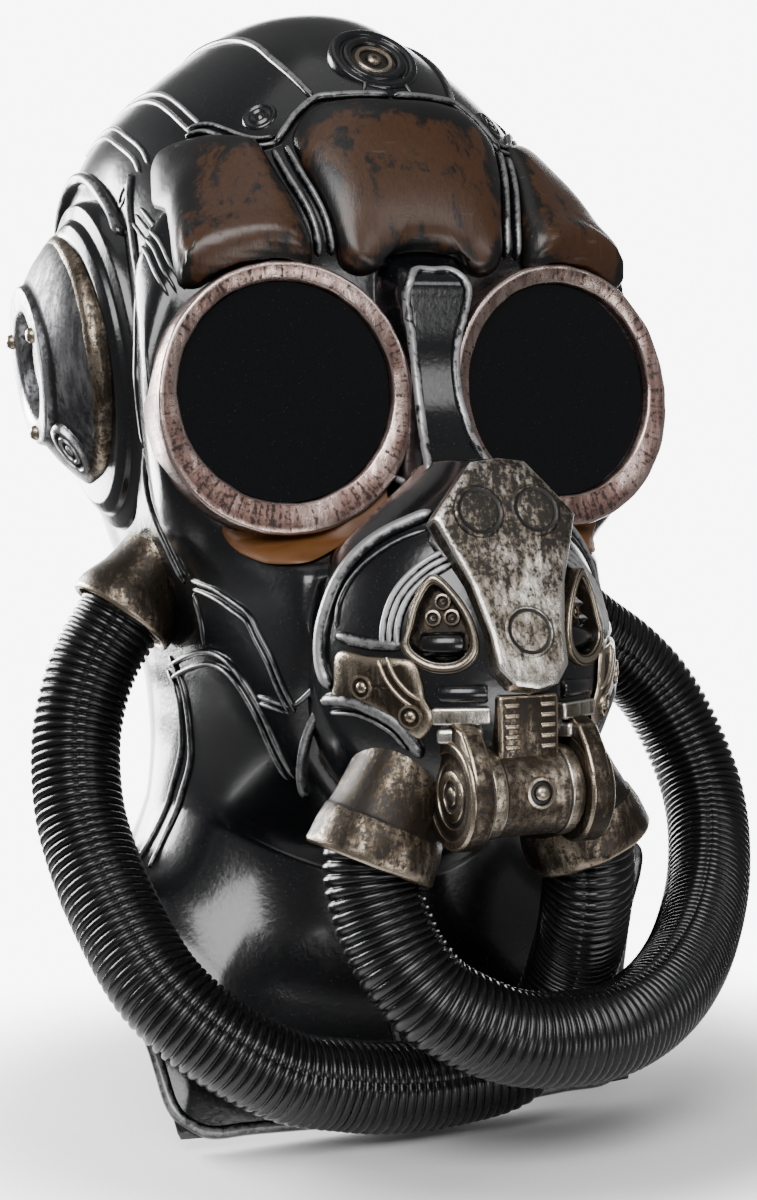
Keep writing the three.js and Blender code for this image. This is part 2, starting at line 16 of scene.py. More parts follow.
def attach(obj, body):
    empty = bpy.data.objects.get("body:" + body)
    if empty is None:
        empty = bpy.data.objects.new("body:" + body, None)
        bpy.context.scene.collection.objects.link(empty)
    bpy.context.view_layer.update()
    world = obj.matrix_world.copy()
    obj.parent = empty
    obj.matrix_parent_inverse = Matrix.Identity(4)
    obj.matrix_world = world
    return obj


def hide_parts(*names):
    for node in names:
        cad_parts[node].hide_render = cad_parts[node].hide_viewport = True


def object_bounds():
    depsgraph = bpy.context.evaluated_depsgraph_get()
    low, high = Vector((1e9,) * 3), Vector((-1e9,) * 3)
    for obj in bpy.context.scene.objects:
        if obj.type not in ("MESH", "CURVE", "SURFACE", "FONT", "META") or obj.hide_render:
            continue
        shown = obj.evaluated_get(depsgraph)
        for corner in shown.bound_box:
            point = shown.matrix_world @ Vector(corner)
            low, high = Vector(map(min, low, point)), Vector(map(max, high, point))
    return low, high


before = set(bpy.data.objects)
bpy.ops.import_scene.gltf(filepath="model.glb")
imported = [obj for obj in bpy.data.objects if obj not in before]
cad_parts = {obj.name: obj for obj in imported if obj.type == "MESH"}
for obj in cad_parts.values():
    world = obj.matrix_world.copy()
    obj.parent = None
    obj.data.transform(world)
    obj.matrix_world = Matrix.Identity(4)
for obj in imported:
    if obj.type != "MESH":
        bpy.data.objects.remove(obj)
CAD_BOX = [list(corner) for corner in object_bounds()]
SEAT = Vector((0, 106, 145.2))        # the frame's origin, inside the crown, from eye level
TO_FRAME = Matrix.Scale(0.001, 4) @ Matrix.Translation(-SEAT)
print("nodes in the frame:", len(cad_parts))

# %% [markdown]
# ## Camera
# The photograph looks up slightly from the wearer's right. A camera is three directions and a place:
# the yaw, pitch and roll give the directions, and the place follows from where eye level appears.

# %% Camera
YAW, PITCH, ROLL = -0.42014, 0.05236, -0.02224
EYE_LEVEL_SEEN = Vector((14.45, 72.93, 875.73))      # across, up and away
LENS = 75

back = Vector((math.sin(YAW) * math.cos(PITCH), -math.cos(YAW) * math.cos(PITCH), math.sin(PITCH)))
level = Vector((math.cos(YAW), math.sin(YAW), 0))
across = math.cos(ROLL) * level + math.sin(ROLL) * back.cross(level)
upright = back.cross(across)
spot = EYE_LEVEL_SEEN.z * back - EYE_LEVEL_SEEN.x * across - EYE_LEVEL_SEEN.y * upright
camera = bpy.data.objects.new("camera", bpy.data.cameras.new("camera"))
camera.data.lens = LENS
camera.matrix_world = (Matrix.Translation(TO_FRAME @ spot)
                       @ Matrix((across, upright, back)).transposed().to_4x4())
bpy.context.collection.objects.link(camera)
bpy.context.scene.camera = camera
print("camera at", [round(v, 3) for v in camera.location])

# %% [markdown]
# ## Small tools for smooth shapes
# Most forms here are soft, so they are described by a few rows of numbers and a smooth curve through
# them. `curve_at` walks such a table, `sheet` bends a grid into any surface, and `keep` makes a piece.

# %% Curves through short tables
def ease(value):
    value = min(max(value, 0.0), 1.0)
    return value * value * (3 - 2 * value)


def curve_at(points, position, closed=False):
    """Catmull-Rom curve through rows of numbers, at a row position."""
    count = len(points)
    i = int(math.floor(position))
    if not closed:
        i = min(max(i, 0), count - 2)
    t = position - i

    def row(k):
        if closed:
            return points[k % count]
        if k < 0:
            return [2 * p - q for p, q in zip(points[0], points[1])]
        if k >= count:
            return [2 * p - q for p, q in zip(points[-1], points[-2])]
        return points[k]

    mixed = []
    for a, b, c, d in zip(row(i - 1), row(i), row(i + 1), row(i + 2)):
        bend = 2 * a - 5 * b + 4 * c - d
        twist = 3 * b - a - 3 * c + d
        mixed.append(b + 0.5 * ((c - a) * t + bend * t * t + twist * t ** 3))
    return mixed


def curve_for(points, value):
    """The same curve, found by the value in its first column, which only rises."""
    low, high = 0.0, len(points) - 1.0
    for _ in range(26):
        middle = (low + high) / 2
        if curve_at(points, middle)[0] < value:
            low = middle
        else:
            high = middle
    return curve_at(points, low)


print("halfway from 0 to 1 eases to", ease(0.5))

# %% Sheets and turned forms
def outward(bm):
    """Turn every face to look outwards."""
    bmesh.ops.recalc_face_normals(bm, faces=bm.faces[:])
    return bm


def sheet(columns, rows, place, into=None, weld=0.02):
    """A grid whose corners are placed by a function of two shares, welded where it meets itself."""
    bm = into or bmesh.new()
    made = bmesh.ops.create_grid(bm, x_segments=columns, y_segments=rows, size=1)["verts"]
    for vert in made:
        vert.co = place((vert.co.x + 1) / 2, (vert.co.y + 1) / 2)
    bmesh.ops.remove_doubles(bm, verts=made, dist=weld)
    return bm


def turned(profile, steps, closed=False):
    """A profile of (radius, along) rows, spun once round the Z axis."""
    bm = bmesh.new()
    chain = [bm.verts.new((radius, 0, along)) for radius, along in profile]
    pairs = list(zip(chain, chain[1:]))
    if closed:
        pairs.append((chain[-1], chain[0]))
    edges = [bm.edges.new(pair) for pair in pairs]
    bmesh.ops.spin(bm, geom=chain + edges, cent=(0, 0, 0), axis=(0, 0, 1),
                   angle=2 * math.pi, steps=steps, use_merge=True)
    bmesh.ops.remove_doubles(bm, verts=bm.verts[:], dist=0.001)
    return outward(bm)


def soften(bm, width, segments=2, angle=25):
    """Round every edge that is sharper than an angle."""
    bm.normal_update()
    sharp = [edge for edge in bm.edges
             if len(edge.link_faces) == 2 and edge.calc_face_angle(0) > math.radians(angle)]
    bmesh.ops.bevel(bm, geom=sharp, offset=width, segments=segments, profile=0.5,
                    affect="EDGES", material=-1, clamp_overlap=True)
    return bm


def facing(centre, axis):
    """The matrix that puts a form made along +Z at a point, looking along an axis."""
    axis = Vector(axis).normalized()
    side = Vector((0, 0, 1)).cross(axis)
    if side.length < 1e-6:
        side = Vector((1, 0, 0))
    side.normalize()
    turn = Matrix((side, axis.cross(side), axis)).transposed().to_4x4()
    return Matrix.Translation(Vector(centre)) @ turn


print("sheets, turned forms and rounded edges are ready")

# %% Moving and joining forms
def moved(bm, matrix):
    bmesh.ops.transform(bm, matrix=matrix, verts=bm.verts[:])
    return bm


def scaled(bm, vec):
    bmesh.ops.scale(bm, vec=vec, verts=bm.verts[:])
    return bm


def mirrored(bm):
    scaled(bm, (-1, 1, 1))
    bmesh.ops.reverse_faces(bm, faces=bm.faces[:])
    return bm


def add_to(target, extra):
    """Move one bmesh's shape into another."""
    carried = bpy.data.meshes.new("carried")
    extra.to_mesh(carried)
    extra.free()
    target.from_mesh(carried)
    bpy.data.meshes.remove(carried)
    return target


print("forms can be moved, mirrored and joined")

# %% Worn paint and finished pieces
def wear_layer(bm):
    return bm.verts.layers.float.get("wear") or bm.verts.layers.float.new("wear")


def mark_wear(bm, radius):
    """Store how sharp each ridge (plus) or groove (minus) is, for the worn paint."""
    layer = wear_layer(bm)
    bm.normal_update()
    for vert in bm.verts:
        bends = []
        for edge in vert.link_edges:
            if len(edge.link_faces) == 2:
                one, two = edge.link_faces
                apart = (one.calc_center_median() - two.calc_center_median()).length
                bends.append(edge.calc_face_angle_signed(0) / max(apart, 0.05))
        if bends:
            vert[layer] = max(min(radius * max(bends, key=abs), 1), -1)
    return bm


def keep(bm, name, finish, stands_for=(), sharp=None):
    """Move a form into the frame and make it a piece that rides on the part."""
    moved(bm, TO_FRAME)
    mesh = bpy.data.meshes.new(name)
    bm.to_mesh(mesh)
    bm.free()
    mesh.materials.append(finish)
    mesh.shade_smooth()
    if sharp:
        mesh.set_sharp_from_angle(angle=math.radians(sharp))
    piece = bpy.data.objects.new(name, mesh)
    bpy.context.collection.objects.link(piece)
    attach(piece, "root")
    if stands_for:
        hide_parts(*stands_for)
    print(name, len(mesh.polygons), "faces")
    return piece


def keep_pair(make, name, finish, stands_for="", sharp=None):
    """The wearer's left piece at +X, and its mirror image."""
    pieces = []
    for side in ("left", "right"):
        bm = make()
        if side == "right":
            mirrored(bm)
        nodes = [f"{stands_for}_{side}"] if stands_for else ()
        pieces.append(keep(bm, f"{name}_{side}", finish, nodes, sharp))
    return pieces


print("pieces can be kept, singly or in pairs")

# %% [markdown]
# ## Shader maths
# A finish is a Principled shader fed by noise. `Wire` wraps a socket so that maths on it reads as
# plain Python, and `Finish.node` adds any other node: its type, its settings, then its sockets.

# %% Wires
def maths(operation, wire_first=True):
    def method(wire, other):
        one, two = (wire, other) if wire_first else (other, wire)
        return wire.finish.node("ShaderNodeMath", {"operation": operation}, {0: one, 1: two})

    return method


class Wire:
    __add__, __radd__ = maths("ADD"), maths("ADD", False)
    __sub__, __rsub__ = maths("SUBTRACT"), maths("SUBTRACT", False)
    __mul__, __rmul__ = maths("MULTIPLY"), maths("MULTIPLY", False)

    def __init__(self, finish, socket):
        self.finish = finish
        self.socket = socket


print("wires add, subtract and multiply")

# %% Finishes
class Finish:
    def __init__(self, name, **constants):
        self.material = bpy.data.materials.new(name)
        self.material.use_nodes = True
        self.tree = self.material.node_tree
        self.tree.nodes.clear()
        self.shader = self.tree.nodes.new("ShaderNodeBsdfPrincipled")
        output = self.tree.nodes.new("ShaderNodeOutputMaterial")
        self.tree.links.new(self.shader.outputs[0], output.inputs[0])
        for socket, value in constants.items():
            self.shader.inputs[socket.replace("_", " ")].default_value = value
        self.place = self.node("ShaderNodeTexCoord", out="Object")

    def put(self, socket, value):
        if isinstance(value, Wire):
            self.tree.links.new(value.socket, socket)
        elif isinstance(value, tuple) and socket.type == "RGBA":
            socket.default_value = (*value, 1)
        else:
            socket.default_value = value

    def node(self, kind, settings=None, sockets=None, out=0):
        made = self.tree.nodes.new(kind)
        for name, value in (settings or {}).items():
            setattr(made, name, value)
        for key, value in (sockets or {}).items():
            self.put(made.inputs[key], value)
        return Wire(self, made.outputs[out])

    def speckle(self, scale, detail=4.0, rough=0.6, stretch=None, warp=0.0):
        place = self.place
        if stretch:
            place = self.node("ShaderNodeMapping", {}, {"Vector": place, "Scale": stretch})
        return self.node("ShaderNodeTexNoise", {}, {
            "Vector": place, "Scale": scale, "Detail": detail, "Roughness": rough, "Distortion": warp})

    def span(self, value, low, high):
        return self.node("ShaderNodeMapRange", {"interpolation_type": "SMOOTHSTEP"}, {
            "Value": value, "From Min": low, "From Max": high})

    def blend(self, share, one, two):
        return self.node("ShaderNodeMix", {"data_type": "RGBA"}, {0: share, 6: one, 7: two}, out=2)

    def wear(self):
        return self.node("ShaderNodeAttribute", {"attribute_name": "wear"}, out="Fac")

    def bump(self, height, strength, depth):
        return self.node("ShaderNodeBump", {}, {"Strength": strength, "Distance": depth, "Height": height})

    def dress(self, **sockets):
        for name, value in sockets.items():
            self.put(self.shader.inputs[name.replace("_", " ")], value)
        return self.material


print("finish tools ready")

# %% [markdown]
# ## Black latex with silver on its ridges
# Cast latex is a satin black with a faint orange peel. The maker dragged an almost dry silver brush
# over it, so the paint caught only the ridges. The `wear` value on the mesh says where those are,
# and noise breaks the strokes up.

# %% Latex
def make_latex(name, silver_from, tone):
    f = Finish(name, Coat_Roughness=0.12, Specular_IOR_Level=0.5)
    cloud = f.speckle(11, 3)
    peel = f.speckle(520, 3, 0.55)
    stroke = f.speckle(300, 6, 0.75)
    dust = f.span(f.speckle(1500, 2, 0.5), 0.66, 0.74)
    silver = f.span(f.wear() + (stroke - 0.5) * 1.2, silver_from, silver_from + 0.5)
    ink = f.blend(cloud, (0.0018, 0.002, 0.0026), (0.0036, 0.004, 0.005))
    ink = f.blend(dust * 0.4, ink, (0.09, 0.093, 0.098))
    return f.dress(
        Base_Color=f.blend(silver, ink, (tone, tone * 0.99, tone)),
        Metallic=silver * 0.7,
        Roughness=0.18 + stroke * 0.1 + silver * 0.18,
        Coat_Weight=0.3 - silver * 0.25,
        Normal=f.bump(peel + cloud * 2.0, 0.16, 0.0006))


LATEX = make_latex("satin black latex", 0.62, 0.26)
print(LATEX.name)

# %% [markdown]
# ## Hoses
# Each hose is split ribbed tubing, about 32 mm thick: a rounded rib every 3.3 mm and one slit along
# it. It leaves a muzzle port, hangs in front of the bib, crosses the other hose and goes into the ear
# port on the opposite side. A grid is bent round the route, ring by ring, with each rib as six rings.

# %% Hose finish
def make_hose_finish():
    f = Finish("black ribbed tubing", Specular_IOR_Level=0.42)
    cloud = f.speckle(60, 4)
    grain = f.speckle(900, 3)
    dust = f.span(f.speckle(1300, 2), 0.64, 0.74)
    tone = f.blend(cloud, (0.0022, 0.0022, 0.0025), (0.005, 0.005, 0.0055))
    return f.dress(
        Base_Color=f.blend(dust * 0.2, tone, (0.08, 0.08, 0.08)),
        Roughness=0.2 + cloud * 0.14,
        Normal=f.bump(grain, 0.1, 0.0004))


HOSE = make_hose_finish()
print(HOSE.name)

# %% Hose routes
ROUTE_FROM_RIGHT = [
    # x, y, z
    (-37.4, -41.2, -148), (-40.7, -41.1, -155.3), (-41, -43.5, -168), (-37, -49, -184),
    (-33, -53, -193), (-25, -57, -203), (-8, -60, -213), (7, -60, -218), (26, -58, -220),
    (47, -51, -220), (73, -34, -216), (102, -6, -208), (128, 24, -193), (142, 44, -175),
    (147, 57, -157), (144, 66, -137), (135, 71, -118), (122, 73, -104), (105, 73, -92),
    (88.5, 73, -79), (84.8, 73, -74.3),
]
ROUTE_FROM_LEFT = [
    (37.4, -41.2, -148), (40.7, -41.1, -155.3), (43, -38, -168), (46, -30, -181),
    (50, -19, -193), (52, -7, -208), (47, 0, -227), (30, 0, -241), (6, -1, -244.5),
    (-18, -2, -244), (-36, -2, -241), (-59, -2, -234.5), (-83, 3, -219), (-98, 15, -202),
    (-105.5, 34, -180), (-109, 50, -160), (-110, 60, -142), (-107, 69, -119), (-99.5, 73, -97),
    (-88.5, 73, -79), (-84.8, 73, -74.3),
]
print("hose routes of", len(ROUTE_FROM_RIGHT), "and", len(ROUTE_FROM_LEFT), "points")

# %% Hose tubes
RIB_PITCH = 3.3
RIB = [(0.0, 14.3), (0.1, 15.3), (0.28, 16.0), (0.5, 16.15), (0.72, 16.0), (0.9, 15.3)]  # share, radius
HOSE_COLUMNS = 30
SLIT_HALF = 2.4                       # degrees
SLIT_DEPTH = 0.5
STEPS_PER_ROW = 30


def along_route(route):
    """The place at any distance along the smooth route, and the route's length."""
    rows = len(route) - 1
    fine = [Vector(curve_at(route, k / STEPS_PER_ROW)) for k in range(STEPS_PER_ROW * rows + 1)]
    run = [0.0]
    for p, q in zip(fine, fine[1:]):
        run.append(run[-1] + (q - p).length)

    def at(distance):
        low, high = 0, len(run) - 2
        while low < high:
            k = (low + high + 1) // 2
            if run[k] <= distance:
                low = k
            else:
                high = k - 1
        share = (distance - run[low]) / max(run[low + 1] - run[low], 1e-9)
        return fine[low].lerp(fine[low + 1], share)

    return at, run[-1]


def make_hose(name, node, route, slit_turn):
    at, length = along_route(route)
    ribs = int(length / RIB_PITCH)
    pitch = length / ribs
    stops = [(rib + share) * pitch for rib in range(ribs) for share, _ in RIB] + [length]
    radii = [radius for _ in range(ribs) for _, radius in RIB] + [RIB[0][1]]
    centres = [at(min(stop, length)) for stop in stops]
    sides = []
    side = Vector((0, 1, 0))
    for k, centre in enumerate(centres):
        ahead = (centres[min(k + 1, len(centres) - 1)] - centres[max(k - 1, 0)]).normalized()
        side = (side - ahead * side.dot(ahead)).normalized()
        sides.append((side.copy(), ahead.cross(side)))
    turns = [slit_turn - SLIT_HALF, slit_turn, slit_turn + SLIT_HALF]
    rest = 360 - 2 * SLIT_HALF
    turns += [turns[2] + rest * k / (HOSE_COLUMNS - 2) for k in range(1, HOSE_COLUMNS - 1)]

    def place(u, v):
        ring = round(v * (len(centres) - 1))
        column = round(u * HOSE_COLUMNS)
        turn = math.radians(turns[column % len(turns)])
        radius = radii[ring] - (SLIT_DEPTH if column % len(turns) == 1 else 0)
        one, two = sides[ring]
        return centres[ring] + radius * (math.cos(turn) * one + math.sin(turn) * two)

    bm = sheet(HOSE_COLUMNS, len(centres) - 1, place)
    bmesh.ops.holes_fill(bm, edges=bm.edges[:], sides=0)
    piece = keep(outward(bm), name, HOSE, [node])
    path = [TO_FRAME @ centre for centre in centres]
    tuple(path[0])
    print(name, "is", round(length), "mm long with", ribs, "ribs")


make_hose("ribbed_hose_left", "hose_left", ROUTE_FROM_LEFT, 215)
make_hose("ribbed_hose_right", "hose_right", ROUTE_FROM_RIGHT, 120)

# %% [markdown]
# ## Hood
# The skin of head, neck and bib is one surface. Level sections, each half a superellipse in front and
# half behind, are run from the neck's foot to the crown, and a bend leads from the neck to the hem.
# A grid takes that shape; the face's shell, the flats round the goggles and the nose bridge swell from
# it. Faces inside the goggles are taken out, and Solidify gives the latex its wall.

# %% Sections of head and neck
LEVELS = [
    # z, half_width, front_y, back_y, side_y, front_power, back_power
    (-222, 76, 30, 158, 94, 2.8, 2.2),
    (-195, 70, 32, 156, 94, 2.5, 2.2),
    (-160, 67, 28, 158, 92, 2.4, 2.2),
    (-130, 67, 16, 164, 88, 2.5, 2.2),
    (-100, 68.5, 6, 174, 84, 2.9, 2.2),
    (-70, 73.5, 2, 186, 82, 4.0, 2.2),
    (-35, 83, 3, 198, 84, 6.0, 2.2),
    (0, 88, 4, 206, 88, 7.0, 2.2),
    (30, 89, 1, 211, 94, 5.6, 2.2),
    (55, 89, -2, 213, 100, 3.3, 2.2),
    (80, 85, 6, 210, 107, 2.3, 2.2),
    (100, 75, 16, 202, 111, 2.1, 2.2),
    (118, 58, 31, 185, 112, 2.0, 2.1),
    (133, 39, 52, 162, 111, 2.0, 2.1),
    (143, 22, 74, 137, 108, 2.0, 2.0),
    (148, 0, 106, 106, 106, 2.0, 2.0),
]
HEM_FRONT = (0, 16, -262)
HEM_CORNER = 45
HEM_SIDE = [
    # turn, x, y, z
    (45, 90, 18, -258),
    (56, 94, 33, -228),
    (72, 107, 48, -200),
    (90, 116, 60, -177),
    (112, 96, 108, -184),
    (144, 60, 148, -208),
    (180, 0, 166, -222),
]
BRIDGE = [
    # z, y, half_width
    (-48, -10, 13), (-30, -30, 11.5), (-18, -23, 9), (-4, -16, 7.6), (14, -13, 8), (30, -15, 11.5),
    (38, -16, 12), (46, -4, 11),
]
WALL = 2.8
EYE_X = 52
RIM_RADIUS = 44.2
RIM_BORE = 38
LENS_AXIS = Vector((0.094, -0.994, 0.052)).normalized()
JAW_Z = -100
CROWN = len(LEVELS) - 1
print(len(LEVELS), "levels from the neck to the crown")

# %% Swellings of the face
BRIDGE_FOOT, BRIDGE_HEAD = BRIDGE[0][0], BRIDGE[-1][0]
BRIDGE_CURVE = {z: curve_for(BRIDGE, z)[1:] for z in range(BRIDGE_FOOT, BRIDGE_HEAD + 1)}
BRIDGE_FLANK = 3.5
FACE_DEPTH = 90           # the goggles and the muzzle lie in front of this
SHELL_SWELL = 8
FLAT_MARGIN = 22          # how far a goggle's flat reaches past its rim
FLAT_SEAT = -6            # where that flat lies on the goggle's axis
CHEEK_OVAL = (53, 65)     # half its width and half its height
CHEEK_Z = -88
CHEEK_FRONT, CHIN_BACK, CHEEK_SWELL = -26, 16, 40


def bridge_at(z):
    """How far forward the nose bridge stands at a height, and half its width."""
    low = int(math.floor(z))
    share = z - low
    rows = zip(BRIDGE_CURVE[low], BRIDGE_CURVE[min(low + 1, BRIDGE_HEAD)])
    return [p * (1 - share) + q * share for p, q in rows]


def lens_axis(side):
    return Vector((side * LENS_AXIS.x, LENS_AXIS.y, LENS_AXIS.z))


def off_lens(point, side):
    """How far a point lies along a goggle's axis, and how far away from that axis."""
    axis = lens_axis(side)
    away = point - Vector((side * EYE_X, 0, 0))
    along = away.dot(axis)
    return along, (away - along * axis).length


def swollen(point):
    """The face's shell, flats round the goggles, cheeks beside the muzzle and the nose bridge."""
    x, y, z = point
    side = -1 if x < 0 else 1
    shell = ease((40 - y) / 10) * ease((78 - abs(z - 8)) / 24)
    point.x += side * SHELL_SWELL * shell * ease((abs(x) - 50) / 35)
    if y < FACE_DEPTH and abs(z) < 110:
        along, reach = off_lens(point, side)
        behind = max(FLAT_SEAT - along, 0)
        near = ease((RIM_RADIUS + FLAT_MARGIN - reach) / FLAT_MARGIN)
        point += lens_axis(side) * (near * behind * ease((26 - behind) / 10))
    if y < FACE_DEPTH and z < -20:
        oval = math.hypot(x / CHEEK_OVAL[0], (z - CHEEK_Z) / CHEEK_OVAL[1])
        clear = ease((math.hypot(abs(x) - EYE_X, z) - RIM_RADIUS - 2) / 16)
        front = CHEEK_FRONT + CHIN_BACK * ease((-105 - z) / 20)
        swell = min(max(point.y - front, 0), CHEEK_SWELL)
        point.y -= swell * clear * ease((1.5 - oval) / 0.45)
    if y < 60 and BRIDGE_FOOT < z < BRIDGE_HEAD:
        ridge, half = bridge_at(z)
        point.y += ease((half + BRIDGE_FLANK - abs(x)) / BRIDGE_FLANK) * min(ridge - point.y, 0)
    return point


print("the nose bridge stands out to", round(bridge_at(-30)[0]), "mm at its foot")

# %% Head, neck and bib
NECK_SIDE, NECK_FRONT, NECK_BACK = -168, -205, -188       # how low the neck reaches
BIB_SHARE, HEAD_SHARE = 0.18, 0.82                        # of the grid's rows
BEND_FROM, BEND_TO = 0.11, 0.25


def level_point(position, turn):
    level, half, front, behind, side_y, front_power, back_power = curve_at(LEVELS, position)
    s, c = abs(math.sin(turn)), math.cos(turn)
    power = front_power if c > 0 else back_power
    depth = side_y - front if c > 0 else behind - side_y
    reach = 0.0
    if half > 1e-6:
        reach = ((s / half) ** power + (abs(c) / depth) ** power) ** (-1 / power)
    if level < JAW_Z:
        foot = NECK_SIDE + ((NECK_FRONT if c > 0 else NECK_BACK) - NECK_SIDE) * c * c
        level = JAW_Z + (level - JAW_Z) * (foot - JAW_Z) / (LEVELS[0][0] - JAW_Z)
    return swollen(Vector((reach * math.sin(turn), side_y - reach * c, level)))


def hem_point(turn):
    degrees = abs(math.degrees(turn))
    if degrees < HEM_CORNER:
        point = Vector(HEM_FRONT).lerp(Vector(HEM_SIDE[0][1:]), degrees / HEM_CORNER)
    else:
        point = Vector(curve_for(HEM_SIDE, degrees)[1:])
    point.x = math.copysign(point.x, turn)
    return point


def bib_point(share, turn):
    base = level_point(0, turn)
    hem = hem_point(turn)
    middle = base.lerp(hem, 0.5)
    middle.z = base.z + 0.3 * (hem.z - base.z)
    return base.lerp(middle, share).lerp(middle.lerp(hem, share), share)


def skin_point(u, v):
    swing = 2 * u - 1
    turn = math.pi * (0.55 * swing + 0.45 * swing ** 3)
    if v < BIB_SHARE:
        return bib_point(1 - v / BIB_SHARE, turn)
    return level_point((v - BIB_SHARE) / HEAD_SHARE * CROWN, turn)


def hood_point(u, v):
    """The skin, with the bend between bib and neck rounded off."""
    share = (v - BEND_FROM) / (BEND_TO - BEND_FROM)
    if not 0 < share < 1:
        return skin_point(u, v)
    low, bend, high = (skin_point(u, row) for row in (BEND_FROM, BIB_SHARE, BEND_TO))
    return low.lerp(bend, share).lerp(bend.lerp(high, share), share)


print("crown at", [round(c) for c in level_point(CROWN, 0)])

# %% Skin of the hood
skin = outward(sheet(216, 188, hood_point))
HOOD_TREE = BVHTree.FromBMesh(skin)


def in_goggle(point, radius):
    return point.y < 60 and any(off_lens(point, side)[1] < radius for side in (1, -1))


openings = [face for face in skin.faces if in_goggle(face.calc_center_median(), RIM_BORE + 1.2)]
bmesh.ops.delete(skin, geom=openings, context="FACES")
mark_wear(skin, 1.6)
hood = keep(skin, "hood_skin", LATEX, ["hood"])
wall = hood.modifiers.new("wall", "SOLIDIFY")
wall.thickness = WALL / 1000
wall.offset = -1

# %% [markdown]
# ## Raised seams of the hood
# The casting carries raised seams, some of them double. Each is a round cord half sunk in the skin:
# a few points lead it, the nearest place on the hood carries it, and its ends run out to nothing.
# Its `wear` value is highest on its crest, where the silver paint caught.

# %% Seams
SEAM_SIDES = 10


def on_surface(tree, point):
    place, normal, _, _ = tree.find_nearest(Vector(point))
    return place, normal


def seam(bm, tree, route, width, height, shift=0.0, lift=0.0, closed=False, taper=5.0):
    """One raised cord along a route on a surface, into a bmesh."""
    count = max(12, 9 * len(route))
    spots, normals = [], []
    for k in range(count + 1):
        reach = len(route) if closed else len(route) - 1
        place, normal = on_surface(tree, curve_at(route, reach * k / count, closed))
        spots.append(place)
        normals.append(normal)
    for _ in range(3):
        for k in range(1, count):
            spots[k] = (spots[k - 1] + 2 * spots[k] + spots[k + 1]) / 4
            normals[k] = (normals[k - 1] + 2 * normals[k] + normals[k + 1]).normalized()
    run = [0.0]
    for p, q in zip(spots, spots[1:]):
        run.append(run[-1] + (q - p).length)

    def place(u, v):
        k = round(u * count)
        ahead = (spots[min(k + 1, count)] - spots[max(k - 1, 0)]).normalized()
        up = normals[k]
        over = ahead.cross(up).normalized()
        scale = 1.0
        if not closed:
            near = min(run[k], run[-1] - run[k]) / taper
            scale = math.sqrt(max(1 - (1 - min(near, 1)) ** 2, 0))
        turn = 2 * math.pi * v
        return (spots[k] + over * (shift + scale * width * math.cos(turn))
                + up * (lift + scale * height * math.sin(turn)))

    layer = wear_layer(bm)
    before = set(bm.verts)
    sheet(count, SEAM_SIDES, place, into=bm)
    for vert in bm.verts:
        if vert not in before:
            spot, up, _, _ = tree.find_nearest(vert.co)
            vert[layer] = max(min((vert.co - spot).dot(up) / max(height, 0.1), 1), -1)


def both_sides(route):
    return [route, [(-x, y, z) for x, y, z in route]]


def sunk_cords(bm, tree, table):
    for label, half_width, height, spread, cords, route in table:
        for side in both_sides(route):
            for k in range(cords):
                shift = spread * (k - (cords - 1) / 2) * (2 if cords == 2 else 1)
                seam(bm, tree, side, half_width, height, shift)
    return bm


print("seams have", SEAM_SIDES, "sides")

